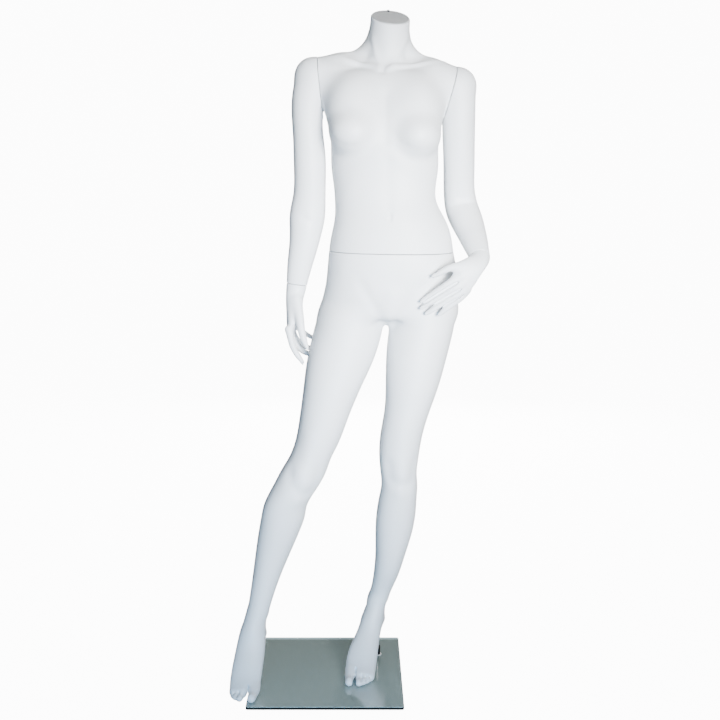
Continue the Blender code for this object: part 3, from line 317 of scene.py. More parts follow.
# Sections along a limb: x, y, z, half width, half depth.
YOKE = [
    (-0.108, 0.045, 1.493, 0.043, 0.0435), (-0.055, 0.052, 1.504, 0.040, 0.038),
    (0.000, 0.058, 1.516, 0.040, 0.035), (0.064, 0.060, 1.522, 0.042, 0.036),
    (0.130, 0.058, 1.509, 0.040, 0.036), (0.185, 0.051, 1.489, 0.040, 0.037),
    (0.234, 0.045, 1.4705, 0.043, 0.043)]
NECK = [
    (0.064, 0.058, 1.500, 0.052, 0.056), (0.068, 0.052, 1.545, 0.049, 0.055),
    (0.0725, 0.040, 1.590, 0.0475, 0.053), (0.0755, 0.022, 1.635, 0.0455, 0.050),
    (0.077, 0.008, 1.670, 0.045, 0.049)]
RIGHT_NECK_SLOPE = [
    (0.045, 0.066, 1.575, 0.018, 0.024), (0.022, 0.066, 1.545, 0.020, 0.026),
    (-0.012, 0.064, 1.518, 0.020, 0.026), (-0.050, 0.060, 1.502, 0.018, 0.024)]
LEFT_NECK_SLOPE = [
    (0.101, 0.066, 1.570, 0.018, 0.024), (0.121, 0.066, 1.538, 0.020, 0.026),
    (0.152, 0.062, 1.511, 0.020, 0.026), (0.188, 0.056, 1.489, 0.018, 0.024)]
# The swell above each breast and the breast itself: centre, radii.
BREASTS = [
    (((-0.012, -0.020, 1.405), (0.052, 0.046, 0.075)), ((-0.013, -0.036, 1.361), (0.053, 0.058, 0.050))),
    (((0.132, -0.020, 1.398), (0.052, 0.046, 0.075)), ((0.137, -0.036, 1.352), (0.053, 0.058, 0.050)))]
RIGHT_ARM = [
    (-0.104, 0.045, 1.4945, 0.0415, 0.0435), (-0.115, 0.046, 1.455, 0.0415, 0.045),
    (-0.1215, 0.047, 1.410, 0.0380, 0.045), (-0.1205, 0.049, 1.360, 0.0365, 0.043),
    (-0.1175, 0.051, 1.310, 0.0385, 0.041), (-0.117, 0.053, 1.260, 0.0385, 0.040),
    (-0.119, 0.055, 1.213, 0.0395, 0.039), (-0.1245, 0.055, 1.165, 0.0430, 0.039),
    (-0.1285, 0.054, 1.130, 0.0395, 0.037), (-0.1345, 0.052, 1.092, 0.0350, 0.033),
    (-0.1445, 0.050, 1.043, 0.0300, 0.027), (-0.1515, 0.049, 1.000, 0.0250, 0.0195),
    (-0.158, 0.047, 0.965, 0.0215, 0.0165)]
LEFT_ARM = [
    (0.235, 0.045, 1.4705, 0.044, 0.043), (0.239, 0.047, 1.420, 0.0400, 0.046),
    (0.2405, 0.051, 1.370, 0.0390, 0.044), (0.2425, 0.058, 1.320, 0.0380, 0.042),
    (0.2445, 0.068, 1.270, 0.0375, 0.040), (0.247, 0.080, 1.225, 0.0380, 0.039),
    (0.254, 0.082, 1.185, 0.0400, 0.038), (0.264, 0.058, 1.155, 0.0388, 0.037),
    (0.273, 0.028, 1.127, 0.0345, 0.034), (0.280, -0.008, 1.100, 0.0295, 0.029),
    (0.2845, -0.042, 1.077, 0.0250, 0.0210), (0.2885, -0.068, 1.059, 0.0225, 0.0180)]
# The palm's first half width runs along its side vector.
RIGHT_PALM = [
    (-0.1495, 0.0495, 1.015, 0.0205, 0.0260), (-0.1515, 0.049, 1.000, 0.0195, 0.0250),
    (-0.157, 0.0485, 0.966, 0.0220, 0.0215), (-0.160, 0.050, 0.935, 0.0310, 0.0180),
    (-0.1635, 0.052, 0.905, 0.0370, 0.0140), (-0.166, 0.053, 0.885, 0.0350, 0.0110)]
RIGHT_PALM_SIDE = (0.0, 1.0, 0.0)
LEFT_PALM = [
    (0.283, -0.030, 1.086, 0.0265, 0.0230), (0.2862, -0.046, 1.0745, 0.0240, 0.0200),
    (0.2800, -0.066, 1.064, 0.0230, 0.0165), (0.265, -0.083, 1.0515, 0.0265, 0.0145),
    (0.251, -0.090, 1.0355, 0.0290, 0.0125), (0.2415, -0.090, 1.019, 0.0280, 0.0110),
    (0.235, -0.088, 1.007, 0.0240, 0.0095)]
LEFT_PALM_SIDE = (0.93, 0.12, -0.35)
# Fingers: x, y, z, radius.
RIGHT_FINGERS = {
    "thumb": [(-0.150, 0.034, 0.962, 0.0125), (-0.1465, 0.024, 0.935, 0.0120),
              (-0.142, 0.014, 0.911, 0.0105), (-0.1384, 0.008, 0.890, 0.0090),
              (-0.1324, 0.006, 0.868, 0.0078), (-0.1262, 0.006, 0.850, 0.0045)],
    "index": [(-0.170, 0.022, 0.893, 0.0095), (-0.166, 0.020, 0.871, 0.0085),
              (-0.1616, 0.020, 0.8536, 0.0078), (-0.1544, 0.020, 0.8362, 0.0070),
              (-0.1447, 0.021, 0.8213, 0.0062), (-0.1375, 0.022, 0.8105, 0.0042)],
    "middle": [(-0.168, 0.042, 0.888, 0.0090), (-0.1595, 0.043, 0.8625, 0.0082),
               (-0.149, 0.046, 0.8448, 0.0075), (-0.1365, 0.055, 0.832, 0.0068),
               (-0.123, 0.069, 0.824, 0.0060), (-0.113, 0.082, 0.820, 0.0042)],
    "ring": [(-0.166, 0.062, 0.889, 0.0085), (-0.157, 0.064, 0.866, 0.0076),
             (-0.145, 0.069, 0.850, 0.0070), (-0.131, 0.079, 0.840, 0.0064),
             (-0.117, 0.091, 0.834, 0.0056), (-0.108, 0.100, 0.831, 0.0040)],
    "little": [(-0.162, 0.080, 0.900, 0.0075), (-0.153, 0.084, 0.888, 0.0066),
               (-0.142, 0.089, 0.879, 0.0060), (-0.128, 0.095, 0.868, 0.0055),
               (-0.116, 0.102, 0.860, 0.0050), (-0.109, 0.106, 0.856, 0.0035)]}
LEFT_FINGERS = {
    "thumb": [(0.264, -0.074, 1.053, 0.0125), (0.244, -0.084, 1.055, 0.0105),
              (0.2187, -0.091, 1.0525, 0.0085), (0.2028, -0.090, 1.0465, 0.0074),
              (0.1871, -0.0875, 1.0375, 0.0060), (0.1755, -0.086, 1.0315, 0.0040)],
    "index": [(0.2365, -0.091, 1.031, 0.0088), (0.2144, -0.095, 1.0185, 0.0083),
              (0.1986, -0.092, 1.0080, 0.0078), (0.1806, -0.087, 0.9950, 0.0074),
              (0.1630, -0.082, 0.9820, 0.0068), (0.1500, -0.0795, 0.9730, 0.0050)],
    "middle": [(0.245, -0.090, 1.0145, 0.0088), (0.2262, -0.094, 1.0045, 0.0082),
               (0.2103, -0.091, 0.9955, 0.0078), (0.1866, -0.086, 0.9805, 0.0074),
               (0.1640, -0.081, 0.9660, 0.0068), (0.1496, -0.0785, 0.9570, 0.0050)],
    "ring": [(0.251, -0.086, 1.003, 0.0084), (0.2375, -0.089, 0.9923, 0.0080),
             (0.2203, -0.087, 0.9815, 0.0077), (0.1990, -0.083, 0.9680, 0.0073),
             (0.1775, -0.079, 0.9540, 0.0066), (0.1615, -0.076, 0.9440, 0.0048)],
    "little": [(0.254, -0.079, 0.997, 0.0076), (0.2435, -0.082, 0.9840, 0.0072),
               (0.2293, -0.081, 0.9720, 0.0069), (0.2133, -0.078, 0.9600, 0.0066),
               (0.2000, -0.075, 0.9490, 0.0060), (0.1925, -0.073, 0.9415, 0.0044)]}
RIGHT_FOOT = [
    (-0.2545, -0.030, 0.180, 0.0235, 0.0300), (-0.2635, -0.040, 0.140, 0.0315, 0.0350),
    (-0.2695, -0.062, 0.098, 0.0360, 0.0280), (-0.2745, -0.092, 0.064, 0.0375, 0.0230),
    (-0.277, -0.118, 0.041, 0.0375, 0.0180), (-0.277, -0.142, 0.0285, 0.0360, 0.0140)]
RIGHT_HEEL = ((-0.264, -0.010, 0.117), (0.025, 0.029, 0.033))
RIGHT_TOES = [
    [(-0.256, -0.128, 0.031, 0.0135), (-0.2555, -0.150, 0.026, 0.0120), (-0.2575, -0.169, 0.0235, 0.0105)],
    [(-0.280, -0.135, 0.029, 0.0110), (-0.2835, -0.152, 0.024, 0.0090), (-0.286, -0.166, 0.0215, 0.0080)],
    [(-0.289, -0.130, 0.028, 0.0105), (-0.294, -0.146, 0.023, 0.0085), (-0.297, -0.158, 0.021, 0.0075)],
    [(-0.297, -0.122, 0.028, 0.0100), (-0.301, -0.138, 0.023, 0.0082), (-0.3025, -0.149, 0.0205, 0.0072)],
    [(-0.301, -0.110, 0.028, 0.0100), (-0.3045, -0.125, 0.023, 0.0080), (-0.306, -0.136, 0.0205, 0.0070)]]
LEFT_FOOT = [
    (0.0505, 0.072, 0.175, 0.0225, 0.0300), (0.0380, 0.060, 0.130, 0.0275, 0.0350),
    (0.025, 0.032, 0.092, 0.0310, 0.0280), (0.012, -0.005, 0.060, 0.0375, 0.0230),
    (0.006, -0.035, 0.039, 0.0380, 0.0180), (0.004, -0.060, 0.0280, 0.0360, 0.0140)]
LEFT_HEEL = ((0.042, 0.086, 0.117), (0.0225, 0.029, 0.033))
LEFT_TOES = [
    [(-0.018, -0.045, 0.031, 0.0135), (-0.0215, -0.068, 0.026, 0.0120), (-0.0225, -0.087, 0.0235, 0.0105)],
    [(0.004, -0.055, 0.029, 0.0110), (0.002, -0.075, 0.024, 0.0090), (0.001, -0.089, 0.0215, 0.0080)],
    [(0.014, -0.051, 0.028, 0.0105), (0.013, -0.070, 0.023, 0.0085), (0.012, -0.083, 0.021, 0.0075)],
    [(0.023, -0.046, 0.028, 0.0100), (0.023, -0.062, 0.023, 0.0082), (0.022, -0.074, 0.0205, 0.0072)],
    [(0.031, -0.036, 0.028, 0.0100), (0.0315, -0.051, 0.023, 0.0080), (0.031, -0.062, 0.0205, 0.0070)]]

# Cut planes: a point on the plane, and the way out of the piece nearer the waist.
RIGHT_SHOULDER = (Vector((-0.0905, 0.048, 1.476)), Vector((-1.0, 0.03, -0.093)).normalized())
LEFT_SHOULDER = (Vector((0.216, 0.044, 1.447)), Vector((1.0, 0.05, -0.25)).normalized())
WAIST = (Vector((0.078, 0.018, 1.0835)), Vector((0.012, -0.03, 1.0)).normalized())
NECK_TOP = (Vector((0.076, 0.020, 1.622)), Vector((0.10, -0.50, 1.0)).normalized())
RIGHT_WRIST = (Vector((-0.1515, 0.049, 1.000)), Vector((-0.135, -0.03, -1.0)).normalized())
LEFT_WRIST = (Vector((0.2862, -0.046, 1.0745)), Vector((0.15, -0.80, -0.58)).normalized())
RIGHT_ARMPIT = 1.400
LEFT_ARMPIT = 1.372


def beyond(p, cut):
    """How far points lie outside a cut plane."""
    return (p - np.array(cut[0])) @ np.array(cut[1])


def right_arm(p):
    d = limb(p, RIGHT_ARM, power=2.15)
    return soft_union(d, limb(p, YOKE[:2], side=(0.0, 1.0, 0.0)), 0.010)


def left_arm(p):
    d = limb(p, LEFT_ARM, power=2.15)
    return soft_union(d, limb(p, YOKE[-2:], side=(0.0, 1.0, 0.0)), 0.010)


def trunk(p):
    d = loft(p, TRUNK, power=2.35)
    d = soft_union(d, limb(p, YOKE, side=(0.0, 1.0, 0.0)), 0.030)
    d = soft_union(d, limb(p, NECK), 0.030)
    for slope in (RIGHT_NECK_SLOPE, LEFT_NECK_SLOPE):
        d = soft_union(d, limb(p, slope), 0.030)
    for swell, breast in BREASTS:
        d = soft_union(d, ball(p, *swell), 0.035)
        d = soft_union(d, ball(p, *breast), 0.018)
    return d


def torso(p):
    """The trunk with a stub of each arm past its shoulder cut."""
    d = trunk(p)
    for arm, cut, armpit in ((right_arm, RIGHT_SHOULDER, RIGHT_ARMPIT),
                             (left_arm, LEFT_SHOULDER, LEFT_ARMPIT)):
        away = beyond(p, cut)
        stub = np.maximum(np.maximum(arm(p), away - 0.020), armpit - p[:, 2])
        d = soft_union(d, stub, np.clip(-0.5 * away, 0.001, 0.030))
    return d


def foot(p, shank, heel, toes):
    d = soft_union(limb(p, shank), ball(p, *heel), 0.022)
    for toe in toes:
        row = np.array(toe)
        d = soft_union(d, limb(p, row[:, [0, 1, 2, 3, 3]], samples=16), 0.008)
    return d


def leg(p, sections, *foot_shape):
    d = loft(p, sections, power=2.1)
    low = p[:, 2] < 0.26
    if low.any():
        d[low] = soft_union(d[low], foot(p[low], *foot_shape), 0.012)
    return d


def lower_body(p):
    d = loft(p, TRUNK, power=2.35)
    for buttock in ((0.004, 0.084, 0.955), (0.150, 0.084, 0.960)):
        d = soft_union(d, ball(p, buttock, (0.078, 0.074, 0.075)), 0.030)
    d = soft_union(d, ball(p, (0.0745, 0.010, 0.936), (0.022, 0.048, 0.029)), 0.012)
    d = soft_union(d, leg(p, RIGHT_LEG, RIGHT_FOOT, RIGHT_HEEL, RIGHT_TOES), 0.020)
    return soft_union(d, leg(p, LEFT_LEG, LEFT_FOOT, LEFT_HEEL, LEFT_TOES), 0.020)


def hand(p, palm, side, fingers, web):
    d = limb(p, palm, side=side)
    for name, row in fingers.items():
        row = np.array(row)
        blend = 0.010 if name == "thumb" else web
        d = soft_union(d, limb(p, row[:, [0, 1, 2, 3, 3]], samples=24), blend)
    return d


def right_hand(p):
    return hand(p, RIGHT_PALM, RIGHT_PALM_SIDE, RIGHT_FINGERS, 0.004)


def left_hand(p):
    return hand(p, LEFT_PALM, LEFT_PALM_SIDE, LEFT_FINGERS, 0.009)


def inside(shape, wall=WALL):
    """The hollow that a wall of even thickness leaves in a shape."""
    return lambda p: shape(p) + wall


def leg_hollow(p):
    return np.maximum(lower_body(p) + WALL, CAVITY_FLOOR - p[:, 2])


# ---- surface detail ----
def press(d, p, path, width, depth):
    """Sinks the surface by depth along a line of points, or raises it where depth is negative."""
    path = np.atleast_2d(np.asarray(path, float))
    if len(path) == 1:
        path = np.repeat(path, 2, axis=0)
    reach = 3.0 * width
    near = np.all((p > path.min(0) - reach) & (p < path.max(0) + reach), axis=1)
    if near.any():
        q = p[near]
        closest = np.full(len(q), np.inf)
        for a, b in zip(path[:-1], path[1:]):
            run = b - a
            t = np.clip((q - a) @ run / max(run @ run, 1e-12), 0.0, 1.0)
            closest = np.minimum(closest, ((q - a - t[:, None] * run) ** 2).sum(1))
        d[near] += depth * np.exp(-closest / width ** 2)
    return d


def pressed(d, p, marks):
    for path, width, depth in marks:
        d = press(d, p, path, width, depth)
    return d


CHEST_MARKS = [
    # collarbones, and the hollows above them
    ([(-0.062, 0.030, 1.531), (-0.040, 0.024, 1.530), (0.000, 0.008, 1.523), (0.032, -0.003, 1.514),
      (0.047, -0.014, 1.503)], 0.0075, -0.0042),
    ([(0.200, 0.034, 1.520), (0.178, 0.025, 1.521), (0.128, 0.006, 1.518), (0.087, -0.009, 1.511),
      (0.066, -0.016, 1.502)], 0.0075, -0.0042),
    ([(-0.014, 0.030, 1.546), (0.016, 0.018, 1.538)], 0.012, 0.0045),
    ([(0.150, 0.030, 1.540), (0.116, 0.018, 1.536)], 0.012, 0.0045),
    # the notch between them, and the cords of the neck that end beside it
    ([(0.056, -0.019, 1.501)], 0.009, 0.0050),
    ([(0.034, 0.012, 1.575), (0.040, 0.000, 1.540), (0.052, -0.017, 1.504)], 0.008, -0.0028),
    ([(0.112, 0.014, 1.575), (0.095, 0.000, 1.540), (0.074, -0.016, 1.508)], 0.008, -0.0022),
    # folds under the breasts
    ([(-0.062, -0.066, 1.343), (-0.046, -0.076, 1.328), (-0.022, -0.082, 1.321), (0.006, -0.083, 1.326),
      (0.027, -0.082, 1.340)], 0.008, 0.0026),
    ([(0.083, -0.076, 1.346), (0.095, -0.082, 1.332), (0.122, -0.086, 1.316), (0.152, -0.079, 1.309),
      (0.180, -0.070, 1.322)], 0.008, 0.0026),
    # breast bone and the edge of the ribs
    ([(0.061, -0.050, 1.440), (0.063, -0.070, 1.340)], 0.012, 0.0030),
    ([(-0.040, -0.055, 1.215), (-0.005, -0.072, 1.270), (0.040, -0.080, 1.300)], 0.016, -0.0020),
    ([(0.170, -0.055, 1.210), (0.135, -0.072, 1.265), (0.090, -0.080, 1.298)], 0.016, -0.0020),
    ([(0.068, -0.072, 1.290), (0.071, -0.070, 1.185)], 0.012, 0.0014)]
NAVEL_MARKS = [
    ([(0.0735, -0.0700, 1.1735), (0.0750, -0.0705, 1.1670), (0.0730, -0.0715, 1.1600)], 0.0034, 0.0038),
    ([(0.0800, -0.0710, 1.1670)], 0.0080, -0.0010)]
BACK_MARKS = [
    # spine, shoulder blades and the small of the back
    ([(0.066, 0.118, 1.470), (0.064, 0.128, 1.380), (0.066, 0.116, 1.280), (0.070, 0.103, 1.200),
      (0.076, 0.110, 1.110), (0.077, 0.122, 1.060)], 0.013, 0.0055),
    ([(0.010, 0.112, 1.465), (0.022, 0.126, 1.400), (0.004, 0.124, 1.355)], 0.016, -0.0050),
    ([(0.118, 0.112, 1.460), (0.106, 0.126, 1.396), (0.124, 0.124, 1.350)], 0.016, -0.0050),
    ([(0.044, 0.110, 1.300), (0.050, 0.102, 1.210)], 0.018, -0.0025),
    ([(0.088, 0.110, 1.300), (0.094, 0.102, 1.210)], 0.018, -0.0025)]
HIP_MARKS = [
    # folds between the thighs and the belly
    ([(0.004, -0.076, 1.010), (0.022, -0.074, 0.982), (0.038, -0.068, 0.955), (0.052, -0.058, 0.930),
      (0.064, -0.020, 0.908)], 0.014, 0.0034),
    ([(0.152, -0.076, 1.006), (0.130, -0.074, 0.976), (0.110, -0.068, 0.950), (0.092, -0.058, 0.928),
      (0.080, -0.020, 0.908)], 0.014, 0.0034),
    ([(0.078, -0.075, 0.985), (0.077, -0.070, 0.945)], 0.020, -0.0030),
    # hip bones
    ([(-0.035, -0.080, 1.070), (-0.048, -0.066, 1.045)], 0.020, -0.0022),
    ([(0.190, -0.080, 1.068), (0.203, -0.066, 1.042)], 0.020, -0.0022),
    # cleft and the dimples above it
    ([(0.077, 0.130, 1.030), (0.077, 0.146, 0.990), (0.077, 0.156, 0.955), (0.074, 0.140, 0.915),
      (0.072, 0.100, 0.893)], 0.011, 0.0160),
    ([(0.046, 0.121, 1.052)], 0.010, 0.0030),
    ([(0.108, 0.121, 1.052)], 0.010, 0.0030),
    # folds under the buttocks
    ([(0.045, 0.125, 0.890), (0.005, 0.138, 0.884), (-0.040, 0.128, 0.890)], 0.010, 0.0060),
    ([(0.105, 0.125, 0.892), (0.145, 0.138, 0.888), (0.190, 0.128, 0.896)], 0.010, 0.0060)]
KNEE_MARKS = [
    # right kneecap, the hollows round it and the head of the shin
    ([(-0.134, -0.072, 0.552), (-0.131, -0.074, 0.534)], 0.018, -0.0050),
    ([(-0.164, -0.064, 0.556), (-0.160, -0.064, 0.526), (-0.142, -0.070, 0.500), (-0.118, -0.066, 0.500)],
     0.013, 0.0028),
    ([(-0.100, -0.062, 0.560), (-0.100, -0.062, 0.528), (-0.112, -0.066, 0.506)], 0.012, 0.0022),
    ([(-0.150, -0.071, 0.488), (-0.153, -0.069, 0.480)], 0.012, -0.0030),
    ([(-0.125, -0.078, 0.590), (-0.120, -0.076, 0.640)], 0.020, -0.0020),
    # left kneecap
    ([(0.106, -0.052, 0.566), (0.107, -0.054, 0.548)], 0.018, -0.0050),
    ([(0.078, -0.044, 0.570), (0.079, -0.044, 0.538), (0.094, -0.048, 0.515), (0.114, -0.047, 0.514)],
     0.013, 0.0028),
    ([(0.136, -0.040, 0.576), (0.137, -0.040, 0.544), (0.128, -0.044, 0.520)], 0.012, 0.0024),
    ([(0.100, -0.050, 0.504), (0.100, -0.048, 0.494)], 0.012, -0.0030),
    ([(0.104, -0.058, 0.600), (0.104, -0.058, 0.650)], 0.020, -0.0020),
    # hollows behind the knees
    ([(-0.160, 0.040, 0.560), (-0.176, 0.036, 0.510)], 0.016, 0.0040),
    ([(0.103, 0.062, 0.570), (0.103, 0.062, 0.520)], 0.016, 0.0040),
    # the two heads of each calf
    ([(-0.200, 0.056, 0.420), (-0.214, 0.060, 0.350)], 0.010, 0.0030),
    ([(0.096, 0.086, 0.420), (0.086, 0.092, 0.345)], 0.010, 0.0030)]
FOOT_MARKS = [
    # ankle bones
    ([(-0.2885, -0.034, 0.118)], 0.010, -0.0026),
    ([(-0.2345, -0.028, 0.126)], 0.010, -0.0026),
    ([(0.0720, 0.068, 0.120)], 0.010, -0.0020),
    ([(0.0150, 0.062, 0.126)], 0.010, -0.0026),
    # the cords above the heels
    ([(-0.2420, 0.012, 0.170), (-0.2400, 0.012, 0.130)], 0.010, 0.0030),
    ([(-0.2720, 0.012, 0.170), (-0.2760, 0.010, 0.130)], 0.010, 0.0030),
    ([(0.0300, 0.100, 0.165), (0.0260, 0.102, 0.130)], 0.010, 0.0030),
    ([(0.0640, 0.100, 0.165), (0.0620, 0.102, 0.130)], 0.010, 0.0030)]
ELBOW_MARKS = {
    "right": [([(-0.126, 0.090, 1.172), (-0.128, 0.090, 1.150)], 0.012, -0.0040),
              ([(-0.128, 0.020, 1.160), (-0.118, 0.022, 1.156)], 0.010, 0.0018)],
    "left": [([(0.253, 0.118, 1.186), (0.256, 0.116, 1.170)], 0.013, -0.0060),
             ([(0.246, 0.046, 1.208), (0.262, 0.040, 1.202)], 0.008, 0.0035)]}


def fine_torso(p):
    d = torso(p)
    return pressed(d, p, CHEST_MARKS + NAVEL_MARKS + BACK_MARKS)


def fine_lower_body(p):
    d = pressed(lower_body(p), p, HIP_MARKS + KNEE_MARKS + FOOT_MARKS)
    low = p[:, 2] < TOE_LEVEL
    if low.any():
        for toes in (RIGHT_TOES, LEFT_TOES):
            near = pressed(d[low], p[low], toe_marks(toes))
            near = nails(near, p[low], {"big": toes[0]}, TOE_BACKS, BIG_TOE_NAIL, TOE_NAIL_LIFT)
            d[low] = nails(near, p[low], dict(zip(SMALL_TOES, toes[1:])), TOE_BACKS, TOE_NAIL, TOE_NAIL_LIFT)
    return d


def fine_right_arm(p):
    return pressed(right_arm(p), p, ELBOW_MARKS["right"])


def fine_left_arm(p):
    return pressed(left_arm(p), p, ELBOW_MARKS["left"])


def frame_at(tip, knuckle, up):
    """Axes at a finger's tip: along the finger, across it, and out of its back."""
    along = unit(np.subtract(tip, knuckle))
    out = unit(np.asarray(up) - along * (np.asarray(up) @ along))
    return np.array([along, np.cross(out, along), out]).T


def nails(d, p, fingers, backs, size, lift=NAIL_LIFT):
    """A thin almond plate on the back of each finger's or toe's end."""
    for name, row in fingers.items():
        row = np.array(row)
        turn = frame_at(row[-1, :3], row[-3, :3], backs[name])
        thick = row[-2, 3]
        centre = row[-1, :3] + turn[:, 2] * thick * lift - turn[:, 0] * 0.0020
        d = soft_union(d, ball(p, centre, size, turn), 0.0006)
    return d


SMALL_TOES = ("second", "third", "fourth", "little")
TOE_BACKS = dict.fromkeys(("big",) + SMALL_TOES, (0.0, -0.30, 0.95))
LEFT_BACKS = dict.fromkeys(("index", "middle", "ring", "little"), (0.10, -0.90, 0.40))
LEFT_BACKS["thumb"] = (0.10, -0.80, 0.55)
RIGHT_BACKS = {"thumb": (0.30, -0.90, 0.30), "index": (-0.85, -0.30, -0.45), "middle": (-0.75, 0.0, -0.65),
               "ring": (-0.60, 0.30, -0.70), "little": (-0.50, 0.50, -0.60)}


def knuckle_marks(fingers, backs, depth):
    """A soft rise at the root of each finger and a smaller one at its middle joint."""
    marks = []
    for name, row in fingers.items():
        if name == "thumb":
            continue
        row = np.array(row)
        out = unit(backs[name])
        marks.append(([row[0, :3] + out * row[0, 3]], 0.0060, -depth))
        marks.append(([row[2, :3] + out * row[2, 3]], 0.0040, -0.5 * depth))
    return marks


def toe_marks(toes):
    """The slot beside the big toe and a groove between each two of the small toes."""
    marks = []
    for one, two in zip(toes[1:], toes[2:]):
        middle = (np.array(one) + np.array(two)) / 2
        marks.append((middle[:, :3] + middle[:, 3:] * (0.0, -0.25, 0.85), *TOE_GROOVE))
    middle = (np.array(toes[0]) + np.array(toes[1])) / 2
    for height in (-0.9, -0.3, 0.3, 0.9):
        marks.append((middle[:, :3] + middle[:, 3:] * (0.0, -0.25, height), *TOE_SLOT))
    return marks


def finger_marks(fingers, backs):
    """A groove on the back of the hand between each two fingers."""
    marks = []
    for one, two in (("index", "middle"), ("middle", "ring"), ("ring", "little")):
        middle = (np.array(fingers[one]) + np.array(fingers[two])) / 2
        out = (unit(backs[one]) + unit(backs[two])) / 2
        marks.append((middle[:, :3] + middle[:, 3:] * out * 0.6, *FINGER_GROOVE))
    return marks


def fine_right_hand(p):
    d = right_hand(p)
    d = pressed(d, p, knuckle_marks(RIGHT_FINGERS, RIGHT_BACKS, 0.0010))
    return nails(d, p, RIGHT_FINGERS, RIGHT_BACKS, FINGER_NAIL)


def fine_left_hand(p):
    d = left_hand(p)
    d = pressed(d, p, knuckle_marks(LEFT_FINGERS, LEFT_BACKS, 0.0012))
    d = pressed(d, p, finger_marks(LEFT_FINGERS, LEFT_BACKS))
    return nails(d, p, LEFT_FINGERS, LEFT_BACKS, FINGER_NAIL)


# ---- meshes of the shapes ----
def skin(shape, box, step):
    """A closed mesh of a shape's surface."""
    points, quads = surface_net(shape, *box, step)
    points = settle(shape, points, step)
    mesh = bpy.data.meshes.new("skin")
    mesh.from_pydata(points.tolist(), [], quads.tolist())
    bm = bmesh.new()
    bm.from_mesh(mesh)
    bpy.data.meshes.remove(mesh)
    return bm


def append(whole, bm):
    """Moves one bmesh's content into another."""
    mesh = bpy.data.meshes.new("layer")
    bm.to_mesh(mesh)
    bm.free()
    whole.from_mesh(mesh)
    bpy.data.meshes.remove(mesh)


def cut_face(cut, side):
    """The plane of a cut face; side is -1 on the piece before the cut and 1 after it."""
    point, out = cut
    return point + out * (side * SEAM_GAP / 2), out * -side


def slice_off(bm, face, above):
    """Removes what lies past a cut face, above a level."""
    point, out = face
    faces = [f for f in bm.faces if min(v.co.z for v in f.verts) > above
             and max((v.co - point).dot(out) for v in f.verts) > -0.02]
    edges = {e for f in faces for e in f.edges}
    verts = {v for f in faces for v in f.verts}
    bmesh.ops.bisect_plane(bm, geom=list(verts) + list(edges) + faces, dist=1e-7,
                           plane_co=point, plane_no=out, clear_outer=True)


def open_rims(bm, faces):
    """Sorts the open edges by the cut face that they lie on."""
    rims = [[] for _ in faces]
    for edge in bm.edges:
        if edge.is_boundary:
            gaps = [max(abs((v.co - point).dot(out)) for v in edge.verts) for point, out in faces]
            rims[gaps.index(min(gaps))].append(edge)
    return rims


def round_rims(bm, shape, faces):
    """Grows each open edge to its cut face, a little inwards, which rounds the piece's edge."""
    for rim, (point, out) in zip(open_rims(bm, faces), faces):
        grown = bmesh.ops.extrude_edge_only(bm, edges=rim)["geom"]
        verts = [g for g in grown if isinstance(g, bmesh.types.BMVert)]
        places = np.array([v.co for v in verts])
        slope = np.stack([(shape(places + 1e-4 * e) - shape(places - 1e-4 * e)) for e in np.eye(3)], axis=1)
        level = np.array(out)
        slope -= (slope @ level)[:, None] * level
        slope /= np.linalg.norm(slope, axis=1)[:, None]
        for vert, (x, y, z) in zip(verts, slope):
            vert.co -= Vector((x, y, z)) * (RIM_SLANT * RIM_EDGE)
            vert.co -= out * (vert.co - point).dot(out)


def bore_in(bm, place, radius, depth, segments=32):
    """A round blind hole down from a face; returns the edges of its mouth."""
    circle = bmesh.ops.create_circle(bm, segments=segments, radius=radius, matrix=place)["verts"]
    mouth = list({e for v in circle for e in v.link_edges})
    grown = bmesh.ops.extrude_edge_only(bm, edges=mouth)["geom"]
    deep = [g for g in grown if isinstance(g, bmesh.types.BMVert)]
    down = place.to_3x3() @ Vector((0.0, 0.0, -depth))
    bmesh.ops.translate(bm, verts=deep, vec=down)
    bmesh.ops.contextual_create(bm, geom=deep)
    return mouth


def axes_at(point, out):
    turn = out.to_track_quat("Z", "Y").to_matrix().to_4x4()
    return Matrix.Translation(point) @ turn


def casting(shape, hollow, box, step, cuts, bore=None, detail=None):
    """One moulded piece: its skin, its hollow if it has one, and flat cut faces between them."""
    faces = [cut_face(cut, side) for cut, side, _ in cuts]
    whole = skin(shape, box, step)
    if detail:
        detail(whole)
    for (point, out), (_, _, above) in zip(faces, cuts):
        slice_off(whole, (point - out * RIM_EDGE, out), above)
    round_rims(whole, shape, faces)
    if hollow:
        bm = skin(hollow, box, HOLLOW_STEP)
        for face, (_, _, above) in zip(faces, cuts):
            slice_off(bm, face, above)
        for rim, (point, out) in zip(open_rims(bm, faces), faces):
            for vert in {v for e in rim for v in e.verts}:
                vert.co -= out * (vert.co - point).dot(out)
        append(whole, bm)
    for rim, (point, out) in zip(open_rims(whole, faces), faces):
        edges = list(rim)
        if bore:
            edges += bore_in(whole, axes_at(point, out), *bore)
        bmesh.ops.triangle_fill(whole, edges=edges, use_beauty=True, normal=out)
    return whole


